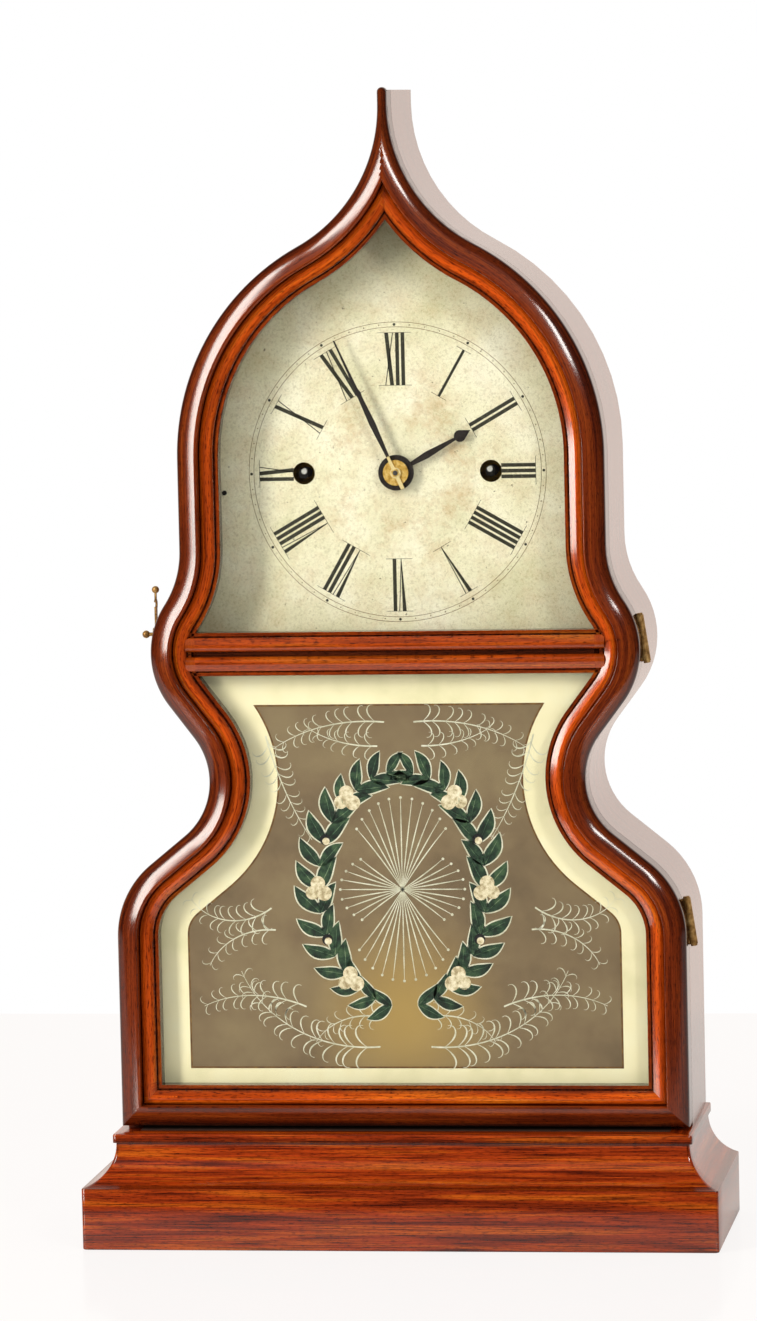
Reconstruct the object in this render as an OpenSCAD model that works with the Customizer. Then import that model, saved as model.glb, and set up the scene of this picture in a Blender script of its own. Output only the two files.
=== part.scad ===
// Eight-day shelf clock in an acorn-shaped mahogany case: hinged glazed door with
// swept mouldings, painted tin dial, two spring trains with lantern pinions,
// pendulum, strike hammer and coiled gong. Millimetres, Z up, front toward -Y.

/* [Case outline] */
// Half width of the rounded tip
tip_half = 2.6; // [2.2:0.1:3]
// Length of the straight tip
tip_len = 7.4; // [6:0.2:9]
// Radius of the hollow spire
spire_r = 85; // [82:1:88]
// Turn of the spire and of the shoulder
spire_turn = 62; // [61:0.5:63]
// Radius of the round shoulder
shoulder_r = 128; // [125:1:131]
// Length of the straight flank
flank_len = 49; // [46:1:52]
// Radius of the hollow under the flank
cheek_r = 53; // [50:1:56]
// Turn of that hollow
cheek_turn = 34; // [33:0.5:35]
// Radius of the middle lobe
lobe_r = 47; // [46:0.5:48]
// Slope of the outline under the lobe
under_turn = 37; // [36:0.5:38]
// Straight length between lobe and waist
under_len = 22; // [20:1:24]
// Radius of the hollow waist
waist_r = 38.5; // [37.5:0.5:39.5]
// Slope of the outline under the waist
hip_turn = 51; // [50:0.5:52]
// Straight length between waist and hip
hip_len = 25; // [23:1:27]
// Radius of the hip
hip_r = 51; // [49:1:53]
// Straight length of the leg under the hip
leg_len = 103.2; // [101:0.2:105]

/* [Base] */
// Width of the base block
base_w = 345; // [340:1:352]
// Depth of the base block
base_d = 125; // [123:1:128]
// Height of the base block
block_h = 33.5; // [32:0.5:35]
// Thickness of the block boards
block_t = 18; // [15:1:20]
// Depth of the cove moulding
cove_t = 28; // [26:1:30]
// Radius of the cove
cove_r = 22; // [21:0.5:23]
// Height of the fillets over the cove
cap_h = 5.1; // [4.6:0.1:5.6]

/* [Case and door] */
// Thickness of the case sides
wall = 8; // [6:0.5:9]
// Thickness of the door frame
frame_t = 12.5; // [11.5:0.5:13.5]
// Width of the door frame
frame_w = 22; // [21.5:0.25:22.5]
// Width of the outer roll
roll_w = 10.3; // [9:0.1:11]
// Inset of the inner bead
band_in = 12; // [11.5:0.1:12.5]
// Width of the inner bead
bead_w = 7.3; // [6.5:0.1:8]
// Height of the crossbar
bar_h = 23.3; // [22.6:0.1:24]
// Gap under the door
door_gap = 2; // [1.5:0.1:3]
// Thickness of the panes
pane_t = 2; // [1.5:0.1:2.3]
// Thickness of the backboard
back_t = 6; // [5:0.5:7]
// Space between the backboard and the movement
post_l = 13.5; // [13:0.5:16]
// Space between the movement and the dial
dial_gap = 10; // [9.6:0.1:12]
// Depth of the dial behind the front edge of the case
dial_set = 11.5; // [11:0.5:13]

/* [Dial and hands] */
// Distance of each winding hole from the centre line
wind_x = 51; // [50.5:0.1:51.5]
// Radius of the winding holes
wind_hole_r = 6; // [5.5:0.1:6.5]
// Thickness of the dial sheet
dial_t = 0.8; // [0.5:0.1:1]
// Length of the minute hand
minute_len = 78.5; // [74:0.5:80]
// Length of the hour hand
hour_len = 46.5; // [44:0.5:50]
// Minute hand angle, clockwise from twelve
minute_at = -24.1; // [-90:0.1:90]
// Hour hand angle, clockwise from twelve
hour_at = 61.2; // [0:0.1:180]

/* [Movement] */
// Half width of the plates
plate_hw = 74; // [73:0.5:76]
// Thickness of the plates
plate_t = 2; // [1.5:0.1:2]
// Gap between the plates
plate_gap = 32; // [32:0.1:33]
// Tooth size of the great and second wheels
great_m = 0.8; // [0.78:0.01:0.81]
// Radius of the mainspring barrels
drum_r = 22; // [20:0.5:23]
// Radius of the escape wheel
escape_r = 16; // [15.5:0.1:16.1]
// Clearance of a turning fit
fit = 0.05; // [0.03:0.01:0.08]
// Clearance of a seated piece
seat = 0.02; // [0.02:0.01:0.05]

/* [Pendulum and gong] */
// Radius of the pendulum rod
rod_r = 1.2; // [1:0.1:1.3]
// Distance of the bob centre below the pivot
bob_drop = 182.6; // [175:1:186]
// Radius of the bob
bob_r = 21; // [18:0.5:24]
// Thickness of the bob
bob_t = 10; // [8:0.5:10.5]
// Outer radius of the gong coil
gong_r = 40; // [38:0.5:41]
// Inner radius of the gong coil
gong_in = 9; // [8.8:0.1:9.2]
// Turns of the gong coil
gong_turns = 4; // [4:1:4]
// Radius of the gong wire
gong_wire = 1.5; // [1.2:0.1:1.6]
// Distance between hammer face and gong
hammer_gap = 1; // [0.6:0.1:2]

/* [Hidden] */
$fn = 64;
turn_step = 6;
big = 800;
hair = 0.02;

wood = "#8a3d1c";
dark_wood = "#5b2a16";
pale_wood = "#c9a06a";
brass = "#c8a04a";
steel = "#8d9096";
blued = "#2b2a2c";

// Levels from front to back: the case is as deep as the movement and dial ask
base_h = block_h + cove_r + cap_h;
front_y = -base_d / 2;
back_y = base_d / 2;
board_y = back_y - back_t;
rear_back = board_y - post_l;
rear_y = rear_back - plate_t;
gap_y = rear_y - plate_gap;
plate_y = gap_y - plate_t;
dial_y = plate_y - dial_gap;
dial_back = dial_y + dial_t;
case_y = dial_y - dial_set;
rod_y = rear_back + 7;
joint_gap = 0.5;
door_back = case_y - joint_gap;
face_y = door_back - frame_t;
glass_y = face_y + 7.5;
strip_y = glass_y + pane_t + 0.1;

// Outline of the case as tangent pieces [kind, radius or length, turn] from the tip
// down: kind 1 is hollow, -1 is round, 0 is straight
segs = [[0, tip_len, 0], [1, spire_r, spire_turn], [-1, shoulder_r, spire_turn],
    [0, flank_len, 0], [1, cheek_r, cheek_turn], [-1, lobe_r, cheek_turn + under_turn],
    [0, under_len, 0], [1, waist_r, under_turn + hip_turn], [0, hip_len, 0],
    [-1, hip_r, hip_turn]];
spire_i = 1;
shoulder_i = 2;
flank_i = 3;
lobe_i = 5;
function outward(a) = [cos(a), sin(a)];
function seg_centre(e) = e[1] + e[0][0] * e[0][1] * outward(e[2]);
function seg_last(e) = e[2] + e[0][0] * e[0][2];
function seg_end(e) = e[0][0] == 0 ? e[1] + e[0][1] * [sin(e[2]), -cos(e[2])]
    : seg_centre(e) - e[0][0] * e[0][1] * outward(seg_last(e));
function chain(s, p, a, i = 0) = i == len(s) ? [] : let (e = [s[i], p, a])
    concat([e], chain(s, seg_end(e), seg_last(e), i + 1));
// The chain is laid out from zero, then raised until its leg stands over the base
door_z = base_h + door_gap;
loose = chain(segs, [tip_half, 0], 0);
flat_top = door_z + leg_len - seg_end(loose[len(loose) - 1])[1];
spine = chain(segs, [tip_half, flat_top], 0);
foot = seg_end(spine[len(spine) - 1]);
leg = [[0, leg_len, 0], foot, 0];

// Outline set in by d, as points down the right side
function cut_start(e, d) = let (x = seg_centre(e)[0], r = e[0][1] + d)
    e[0][0] > 0 && x - r * cos(e[2]) < 0 ? acos(x / r) : e[2];
function arc_pts(e, d) = let (b0 = cut_start(e, d), b1 = seg_last(e),
    n = ceil(abs(b1 - b0) / turn_step), k = e[0][0])
    [for (j = [0:n - 1]) seg_centre(e) - (k * e[0][1] + d) * outward(b0 + (b1 - b0) * j / n)];
function seg_pts(e, d) = e[0][0] == 0 ? [e[1] - d * outward(e[2])] : arc_pts(e, d);
function half(d) = [for (e = spine) each [for (p = seg_pts(e, d)) if (p[0] > -0.001) p]];
function outline(d, zb) = let (h = concat(half(d), [foot - [d, 0], [foot[0] - d, zb]]))
    concat(h, [for (i = [len(h) - 1:-1:0]) if (h[i][0] > 0.001) [-h[i][0], h[i][1]]]);
// Point of piece i at share f of its length, set in by d
function spot(i, f, d) = let (e = spine[i], k = e[0][0], b = e[2] + f * k * e[0][2])
    k == 0 ? e[1] + f * (seg_end(e) - e[1]) - d * outward(e[2])
    : seg_centre(e) - (k * e[0][1] + d) * outward(b);
lobe_c = seg_centre(spine[lobe_i]);
function lobe_x(d, z) = lobe_c[0] + sqrt((lobe_r - d) ^ 2 - (z - lobe_c[1]) ^ 2);

// The dial sits between the shoulders, the crossbar between the lobes
dial_z = seg_centre(spine[shoulder_i])[1] - 10.03;
bar_z = lobe_c[1] - 0.76;

// Door openings
bar_top = bar_z + bar_h / 2;
bar_low = bar_z - bar_h / 2;
rail_top = door_z + frame_w;
rebate = frame_w - 6;
pane_play = 0.5;
strip_play = 0.3;
strip_w = 4.2;
back_rebate = wall / 2;

// Mouldings
roll_flank = 5;
bead_flank = 1.4;
bead_rise = 2.2;
bead_r = (bead_w ^ 2 / 4 + bead_rise ^ 2) / (2 * bead_rise);
fillet_w = 1.7;
fillet_h = 1.2;
band_floor = 0.4;
overlap = 0.1;

// Hinges, on an axis that leans outward toward the foot
hinge_y = case_y - joint_gap / 2;
hinge_top = [lobe_c[0] + lobe_r + 0.2, lobe_c[1] + 4.9];
hinge_low = [foot[0] + 0.65, foot[1] + 6.2];
hinge_lean = atan((hinge_low[0] - hinge_top[0]) / (hinge_top[1] - hinge_low[1]));
leaf_l = 25;
leaf_w = 7;
leaf_t = 1;
knuckle_r = 2.2;
hinge_pin_r = 1;
relief_r = knuckle_r + 0.2;
hinge_screw_r = 0.8;
hinge_head_r = 1.6;

// Movement centres, seen from the front
function polar(r, a) = [r * cos(a), r * sin(a)];
function pair_r(n1, n2, m) = (n1 + n2) * m / 2;
function towards(p, q) = atan2(q[1] - p[1], q[0] - p[0]);
great_n = 72;
second_n = 60;
second_lantern = 9;
centre_n = 80;
centre_lantern = 10;
third_n = 80;
third_lantern = 8;
escape_n = 42;
escape_lantern = 8;
strike_third_n = 50;
strike_lantern = 8;
fly_lantern = 8;
count_n = 78;
count_pinion_n = 13;
cannon_n = 14;
minute_n = 42;
hour_n = 40;
hour_pinion_n = 10;
centre_m = 0.6;
third_m = 0.5;
hour_m = (cannon_n + minute_n) * centre_m / (hour_n + hour_pinion_n);
centre_p = [0, dial_z];
time_p = [wind_x, dial_z];
strike_p = [-wind_x, dial_z];
great_far = pair_r(great_n, second_lantern, great_m);
second_far = pair_r(second_n, centre_lantern, great_m);
second_dx = (wind_x ^ 2 + great_far ^ 2 - second_far ^ 2) / (2 * wind_x);
second_p = time_p - [second_dx, sqrt(great_far ^ 2 - second_dx ^ 2)];
third_p = centre_p + polar(pair_r(centre_n, third_lantern, centre_m), 80);
escape_far = pair_r(third_n, escape_lantern, third_m);
escape_p = [0, third_p[1] + sqrt(escape_far ^ 2 - third_p[0] ^ 2)];
anchor_p = escape_p + [0, escape_r + 2.9];
strike_second_p = strike_p + polar(great_far, -52);
strike_third_p = strike_second_p + polar(pair_r(second_n, strike_lantern, great_m), -35);
fly_p = strike_third_p + polar(pair_r(strike_third_n, fly_lantern, third_m), -20);
count_p = strike_second_p + polar(pair_r(count_n, count_pinion_n, centre_m), -135);
minute_p = centre_p - [0, pair_r(cannon_n, minute_n, centre_m)];
hammer_p = [-40, dial_z - 57];
plate_low = dial_z - 63;
plate_top = dial_z + 83;
pillar_at = [for (x = [-1, 1], z = [8, plate_top - plate_low - 8]) [x * (plate_hw - 8), plate_low + z]];

// Levels in the movement
great_y = gap_y + 2;
great_t = 2.5;
drum_y = great_y + great_t;
drum_l = 19;
wheel_t = 1.5;
second_y = rear_y - 4.5;
second_t = 2;
centre_y = gap_y + 19;
third_y = gap_y + 9;
escape_y = gap_y + 4;
strike_third_y = gap_y + 13;
fly_y = gap_y + 3;
fly_l = 8;
fly_r = 12;
arbor_r = 1.5;
pivot_r = 0.8;
stout_r = 1.3;
shroud_t = 0.8;
pillar_r = 3.5;
pillar_end_r = 2;
winder_r = 3;
winder_sq = 4.5;
ratchet_n = 24;
ratchet_r = 9;
ratchet_t = 1.5;
ratchet_y = great_y - 1.7;
stud_r = 1.5;

// Teeth: share of the pitch at root and tip, heights in tooth sizes
root_share = 0.25;
tip_share = 0.09;
tooth_up = 0.85;
tooth_down = 1.15;
trundle_k = 0.58;

// Hands
pipe_r = 2.2;
pipe_sq = 3.4;
hour_pipe_r = 3.6;
hour_neck_r = 3;
hour_disc_r = 9.6;
hour_y = dial_y - 3.6;
hour_disc_t = 1.6;
minute_disc_r = 6.9;
minute_disc_y = dial_y - 6.6;
hand_t = 1;

// Pendulum
spring_w = 0.3;
spring_top = anchor_p[1] + 8.6;
spring_low = anchor_p[1] - 16.4;
bob_z = anchor_p[1] - bob_drop;
bob_sphere = (bob_r ^ 2 + bob_t ^ 2 / 4) / bob_t;
nut_r = 4;
nut_t = 4;
fork_gap = 0.3;
fork_r = 0.8;
fork_z = anchor_p[1] - 41.4;

// Gong
gong_c = [25, dial_z - 245];
gong_y = gap_y + 21;
gong_rings = 24;
gong_sides = 6;
gong_pitch = (gong_r - gong_in) / gong_turns;
gong_slope = atan(gong_pitch / (2 * PI * gong_in));
gong_last = 90 - gong_slope;
gong_tail = 2 * gong_wire + 0.4;
gong_end = gong_c + polar(gong_in, gong_last);
gong_left = gong_c[0] - gong_wire - gong_r + gong_pitch * (180 - gong_last) / 360;
hammer_r = 6;
hammer_l = 14;
hammer_rod_r = 1;
hammer_tail = 11.2;
lift_r = 20;
lift_pin_r = 0.6;

module slab(y0, y1) {
    translate([0, y1, 0]) rotate([90, 0, 0]) linear_extrude(y1 - y0) children();
}
module disc(p, r, y0, y1) {
    translate([p[0], y1, p[1]]) rotate([90, 0, 0]) cylinder(r = r, h = y1 - y0);
}
module both_sides() {
    for (s = [0, 1]) mirror([s, 0, 0]) children();
}
// Everything to the left of the line from p to q
module left_of(p, q, gap = hair / 2) {
    translate(p) rotate(towards(p, q)) translate([-big, gap]) square([2 * big, big]);
}
module right_half() {
    square([big, big]);
}
module ring(d0, d1, zb) {
    difference() {
        polygon(outline(d0, zb));
        polygon(outline(d1, zb - 1));
    }
}
// Outline set in by d, between two heights
module region(d, z0, z1) {
    intersection() {
        polygon(outline(d, z0));
        translate([-big / 2, z0]) square([big, z1 - z0]);
    }
}

module hinge_place() {
    for (p = [hinge_top, hinge_low])
        translate([p[0], hinge_y, p[1]]) rotate([0, -hinge_lean, 0]) children();
}
hinge_screw_at = [for (z = [-8, 0, 8]) [-leaf_w + 2.4, z]];
module hinge_screw(side, play) {
    for (q = hinge_screw_at) translate([q[0], side * joint_gap / 2, q[1]])
        rotate([-90 * side, 0, 0]) {
            cylinder(r1 = hinge_head_r + play, r2 = hinge_screw_r + play, h = 0.8);
            cylinder(r = hinge_screw_r + play, h = 6 + play);
        }
}
module hinge_mortise(side) {
    hinge_place() {
        cylinder(r = relief_r, h = leaf_l + 0.4, center = true);
        translate([-leaf_w - seat, side > 0 ? 0 : -joint_gap / 2 - leaf_t - seat, -leaf_l / 2 - 0.2])
            cube([leaf_w + 4, joint_gap / 2 + leaf_t + seat, leaf_l + 0.4]);
        hinge_screw(side, seat);
    }
}
module hinge_leaf(side) {
    third = leaf_l / 3;
    spans = side > 0 ? [[-leaf_l / 2, -third / 2 - 0.1], [third / 2 + 0.1, leaf_l / 2]]
        : [[-third / 2, third / 2]];
    gaps = side > 0 ? [[-third / 2 - 0.1, third / 2 + 0.1]]
        : [[-leaf_l / 2 - 1, -third / 2], [third / 2, leaf_l / 2 + 1]];
    difference() {
        union() {
            translate([-leaf_w, side > 0 ? joint_gap / 2 : -joint_gap / 2 - leaf_t, -leaf_l / 2])
                cube([leaf_w - 1.6, leaf_t, leaf_l]);
            for (s = spans) translate([0, 0, s[0]]) cylinder(r = knuckle_r, h = s[1] - s[0]);
        }
        for (s = gaps) translate([0, 0, s[0]]) cylinder(r = relief_r, h = s[1] - s[0]);
        cylinder(r = hinge_pin_r + fit, h = leaf_l + 2, center = true);
        hinge_screw(side, seat);
    }
}

module wheel(p, n, m, y0, y1, phase, holes = 0) {
    r = n * m / 2;
    t = 360 / n;
    slab(y0, y1) translate(p) rotate(phase) difference() {
        polygon([for (i = [0:n - 1]) each
            [for (q = [[-root_share, -tooth_down], [-tip_share, tooth_up],
                [tip_share, tooth_up], [root_share, -tooth_down]])
                polar(r + q[1] * m, (i + q[0]) * t)]]);
        for (i = [1:1:holes]) rotate(360 * i / holes) translate([r * 0.58, 0]) circle(r = r * 0.24);
    }
}
// Lantern pinion for a wheel lying from y0 to y1
module lantern(p, n, m, y0, y1, phase) {
    r = n * m / 2;
    for (y = [y0 - 0.6 - shroud_t, y1 + 0.6]) disc(p, r + 1.1 * m, y, y + shroud_t);
    for (i = [0:n - 1])
        disc(p + polar(r, phase + 360 * i / n), trundle_k * m, y0 - 0.8, y1 + 0.8);
}
module arbor(p, r = arbor_r) {
    disc(p, r, gap_y + 0.3, rear_y - 0.3);
    disc(p, pivot_r, plate_y + 0.3, rear_back - 0.3);
}
function gap_phase(p, q, n) = towards(q, p) + 180 / n;

module click(p, s) {
    at = p + [s * (ratchet_r + 3.6), 0];
    nose = p + [s * (ratchet_r + 0.2), -1.2];
    slab(ratchet_y + 0.1, great_y) polygon([nose, nose + [s * 1.2, -0.6],
        at + [s * 2, 1.5], at + [s * 1.4, 5], at + [-s * 0.6, 5.2], at + [-s * 1.6, 2]]);
}
module barrel(p, q, s) {
    color(steel) click(p, s);
    color(brass) difference() {
        union() {
            wheel(p, great_n, great_m, great_y, great_y + great_t, towards(p, q));
            disc(p, drum_r, drum_y - 0.1, drum_y + drum_l);
        }
        disc(p, drum_r - 1.2, drum_y + 1, drum_y + drum_l - 1.2);
        disc(p, winder_r + fit, great_y - 1, drum_y + drum_l + 1);
    }
}
module winder(p, s) {
    color(steel) union() {
        disc(p, winder_r, dial_y + 0.6, rear_y - 1);
        disc(p, winder_r - 0.6, rear_y - 1.5, rear_back - 0.2);
        slab(dial_y - 1.5, dial_y + 0.8) translate(p) square(winder_sq, center = true);
        slab(ratchet_y, ratchet_y + ratchet_t) translate(p) scale([s, 1])
            polygon([for (i = [0:ratchet_n - 1]) each [polar(ratchet_r, i * 360 / ratchet_n),
                polar(ratchet_r - 1.4, (i + 0.1) * 360 / ratchet_n)]]);
    }
}

module band_profile() {
    translate([band_in, 0]) square([bead_w, bead_flank - overlap]);
    intersection() {
        translate([band_in + bead_w / 2, bead_flank + bead_rise - bead_r]) circle(r = bead_r);
        translate([band_in, bead_flank / 2]) square([bead_w, bead_flank + bead_rise]);
    }
    translate([frame_w - fillet_w, 0]) square([fillet_w, fillet_h]);
    translate([band_in, 0]) square([frame_w - band_in, band_floor]);
}
module roll_profile() {
    square([roll_w, roll_flank]);
    intersection() {
        translate([roll_w / 2, roll_flank]) circle(r = roll_w / 2);
        translate([0, roll_flank - overlap]) square([roll_w, roll_w]);
    }
}
// Moulding profile carried along one piece of the outline, a hair short of the next
module along(e) {
    k = e[0][0];
    r = e[0][1];
    if (k == 0) {
        p = seg_end(e);
        translate([p[0], face_y, p[1]]) rotate([0, -e[2], 0]) rotate([0, 0, 180])
            translate([0, 0, hair]) linear_extrude(r - hair) children();
    } else {
        c = seg_centre(e);
        trim = hair / r * 180 / PI;
        translate([c[0], face_y, c[1]]) rotate([90, 0, 0])
            rotate([0, 0, k > 0 ? e[2] + 180 : seg_last(e) + trim])
            rotate_extrude(angle = e[0][2] - trim, $fn = 180)
            translate([r, 0]) scale([k, 1]) children();
    }
}
// Moulding profile along the whole width, set in from height z0 up (1) or down (-1)
module across(z0, dir) {
    translate([-dir * foot[0], face_y, z0]) rotate([180, -90 * dir, 0])
        linear_extrude(2 * foot[0]) children();
}
module clip() {
    slab(face_y - 30, face_y + 5) children();
}
corner = [foot[0], door_z];
inner_corner = corner + [-frame_w, frame_w];

module plinth_front() {
    x1 = base_w / 2;
    x0 = x1 - block_t;
    color(wood) linear_extrude(block_h) polygon([[-x1, front_y], [x1, front_y],
        [x0, front_y + block_t], [-x0, front_y + block_t]]);
}
module plinth_sides() {
    x1 = base_w / 2;
    x0 = x1 - block_t;
    color(wood) both_sides() linear_extrude(block_h) polygon([[x1, front_y], [x1, back_y],
        [x0, back_y], [x0, front_y + block_t]]);
}
module cove_profile() {
    set_back = 0.9;
    spring_z = block_h + cove_r - 1;
    difference() {
        translate([set_back, block_h]) square([cove_t - set_back, base_h - block_h]);
        intersection() {
            translate([-5.5, spring_z]) circle(r = cove_r);
            translate([-1, 0]) square([cove_t, spring_z]);
        }
        translate([-1, spring_z - 0.1]) square([cove_r - 4.5, 1.6]);
        translate([-1, spring_z + 1.4]) square([cove_r - 6, 10]);
    }
}
module cove_mitre(side) {
    x1 = base_w / 2;
    x0 = x1 - cove_t;
    pts = side ? [[x1, front_y], [x1, back_y], [x0, back_y], [x0, front_y + cove_t]]
        : [[-x1, front_y], [x1, front_y], [x0, front_y + cove_t], [-x0, front_y + cove_t]];
    linear_extrude(base_h + 5) polygon(pts);
}
module cove_front() {
    color(wood) intersection() {
        translate([-base_w / 2, front_y, 0]) rotate([90, 0, 90]) linear_extrude(base_w)
            cove_profile();
        cove_mitre(false);
    }
}
module cove_sides() {
    color(wood) both_sides() intersection() {
        translate([base_w / 2, back_y, 0]) rotate([90, 0, 0]) linear_extrude(base_d)
            mirror([1, 0]) cove_profile();
        cove_mitre(true);
    }
}
floor_hw = base_w / 2 - cove_t;
back_rail_t = 12;
module base_back() {
    y0 = back_y - back_rail_t;
    color(pale_wood) {
        translate([-floor_hw, y0, block_h - 1])
            cube([2 * floor_hw, back_rail_t, base_h - block_h + 1]);
        translate([-base_w / 2 + block_t, y0, 0])
            cube([base_w - 2 * block_t, back_rail_t, block_h]);
    }
}
module case_floor() {
    color(pale_wood) translate([-floor_hw, front_y + cove_t, base_h - 8.6])
        cube([2 * floor_hw, base_d - cove_t - back_rail_t, 8.6]);
}
module glue_blocks() {
    y0 = front_y + block_t;
    x0 = base_w / 2 - block_t;
    depth = cove_t - block_t;
    run = base_d - block_t - back_rail_t;
    color(pale_wood) {
        for (x = [-90, 50]) translate([x, y0, block_h - 20]) cube([40, depth, 20]);
        both_sides() for (share = [0.36, 0.78])
            translate([x0 - depth, y0 + share * run - 12, block_h - 20]) cube([depth, 24, 20]);
    }
}

back_head_r = 1.7;
back_screw_at = [for (s = [-1, 1], q = [[2, 0.12], [3, 0.1], [5, 0.5], [9, 0.4]])
    let (p = spot(q[0], q[1], wall * 0.75)) [s * p[0], p[1]]];
module back_screw_holes(r, y0) {
    for (p = back_screw_at) disc(p, r, y0, back_y + 1);
}
module case_side(s) {
    difference() {
        slab(case_y, back_y) intersection() {
            ring(0, wall, base_h);
            translate([s > 0 ? 0 : -big, 0]) square([big, big]);
        }
        slab(board_y, back_y + 1) polygon(outline(back_rebate, base_h - 1));
        for (p = back_screw_at) disc(p, 0.8 + seat, board_y - 8.5, board_y + 1);
        children();
    }
}
latch_z = lobe_c[1] + 9.9;
latch_y = case_y + 8.5;
latch_pin_y = glass_y - 1;
latch_x = lobe_c[0] + lobe_r + 0.5;
module case_side_left() {
    color(wood) case_side(-1)
        translate([-latch_x - 1, latch_y, latch_z]) rotate([0, 90, 0])
            cylinder(r = 0.8 + seat, h = latch_x - lobe_x(wall, latch_z) - 0.6);
}
module case_side_right() {
    color(wood) case_side(1) hinge_mortise(1);
}
module back_board() {
    color(pale_wood) difference() {
        slab(board_y, back_y) polygon(outline(back_rebate + 0.2, base_h));
        back_screw_holes(0.8 + seat, board_y - 1);
        back_screw_holes(back_head_r + seat, back_y - 1);
    }
}
module back_screws() {
    color(steel) for (p = back_screw_at) {
        disc(p, 0.8, board_y - 8, back_y - 0.5);
        disc(p, back_head_r, back_y - 1, back_y - 0.3);
    }
}

module stile(s) {
    difference() {
        slab(face_y, door_back) intersection() {
            ring(0, frame_w, door_z);
            translate([s > 0 ? 0 : -big, 0]) square([big, big]);
        }
        slab(glass_y, door_back + 1) polygon(outline(rebate, door_z - 1));
        children();
    }
}
module latch_pin_place() {
    translate([-latch_x, latch_pin_y, latch_z]) rotate([0, 90, 0]) children();
}
module stile_left() {
    color(wood) stile(-1) latch_pin_place()
        translate([0, 0, -3]) cylinder(r = 1 + seat, h = 11);
}
module stile_right() {
    color(wood) stile(1) hinge_mortise(-1);
}
module bottom_rail() {
    hw = foot[0] - frame_w;
    hw_back = foot[0] - rebate;
    color(wood) {
        slab(face_y, glass_y) translate([-hw, door_z]) square([2 * hw, frame_w]);
        slab(glass_y - 1, door_back) translate([-hw, door_z]) square([2 * hw, rebate]);
        slab(glass_y, door_back) translate([-hw_back, door_z]) square([2 * hw_back, rebate]);
    }
}
module crossbar() {
    edge = frame_w - rebate;
    color(wood) {
        slab(face_y, glass_y) region(frame_w, bar_low, bar_top);
        slab(glass_y - 1, door_back) region(frame_w, bar_low + edge, bar_top - edge);
        slab(glass_y, door_back) region(rebate, bar_low + edge, bar_top - edge);
    }
}
module outer_roll() {
    cap_z = flat_top - 1.1;
    color(wood) {
        both_sides() {
            intersection() {
                along([[0, tip_len - 1.1 - hair, 0], [tip_half, cap_z - hair], 0])
                    roll_profile();
                clip() right_half();
            }
            intersection() {
                along(spine[spire_i]) roll_profile();
                clip() right_half();
            }
            for (i = [spire_i + 1:len(spine) - 1]) along(spine[i]) roll_profile();
            intersection() {
                along(leg) roll_profile();
                clip() left_of(inner_corner, corner);
            }
        }
        translate([0, face_y, cap_z]) rotate([90, 0, 0]) rotate_extrude(angle = 180)
            intersection() {
                translate([tip_half, 0]) mirror([1, 0]) roll_profile();
                square([tip_half, 2 * roll_w]);
            }
        intersection() {
            across(door_z, 1) roll_profile();
            clip() left_of(corner, inner_corner);
            clip() mirror([1, 0]) left_of(corner, inner_corner);
        }
    }
}
bar_outer = frame_w - band_in;
top_out = [lobe_x(band_in, bar_top - bar_outer), bar_top - bar_outer];
top_in = [lobe_x(frame_w, bar_top), bar_top];
low_out = [lobe_x(band_in, bar_low + bar_outer), bar_low + bar_outer];
low_in = [lobe_x(frame_w, bar_low), bar_low];
module upper_band() {
    color(wood) {
        both_sides() {
            intersection() {
                along(spine[spire_i]) band_profile();
                clip() right_half();
            }
            for (i = [spire_i + 1:lobe_i - 1]) along(spine[i]) band_profile();
            intersection() {
                along(spine[lobe_i]) band_profile();
                clip() left_of(top_in, top_out);
            }
        }
        intersection() {
            across(bar_top - frame_w, 1) band_profile();
            clip() left_of(top_out, top_in);
            clip() mirror([1, 0]) left_of(top_out, top_in);
        }
    }
}
module lower_band() {
    color(wood) {
        both_sides() {
            intersection() {
                along(spine[lobe_i]) band_profile();
                clip() left_of(low_out, low_in);
            }
            for (i = [lobe_i + 1:len(spine) - 1]) along(spine[i]) band_profile();
            intersection() {
                along(leg) band_profile();
                clip() left_of(inner_corner, corner);
            }
        }
        intersection() {
            across(bar_low + frame_w, -1) band_profile();
            clip() left_of(low_in, low_out);
            clip() mirror([1, 0]) left_of(low_in, low_out);
        }
        intersection() {
            across(door_z, 1) band_profile();
            clip() left_of(corner, inner_corner);
            clip() mirror([1, 0]) left_of(corner, inner_corner);
        }
    }
}
module upper_glass() {
    color("#cfe0dc", 0.3) slab(glass_y, glass_y + pane_t)
        region(rebate + pane_play, bar_top - 6 + pane_play, big);
}
module tablet_glass() {
    color("#9a8f86") slab(glass_y, glass_y + pane_t) region(rebate + pane_play,
        door_z + rebate + pane_play, bar_low + 6 - pane_play);
}
module glazing_strips() {
    inner = rebate + strip_play + strip_w;
    color(dark_wood) {
        slab(strip_y, door_back - 0.4) difference() {
            region(rebate + strip_play, bar_top - 6 + strip_play, big);
            region(inner, bar_top - 6 + strip_play + strip_w, big);
        }
        slab(strip_y, door_back - 0.4) difference() {
            region(rebate + strip_play, door_z + rebate + strip_play, bar_low + 6 - strip_play);
            region(inner, door_z + inner, bar_low + 6 - strip_play - strip_w);
        }
    }
}

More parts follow.
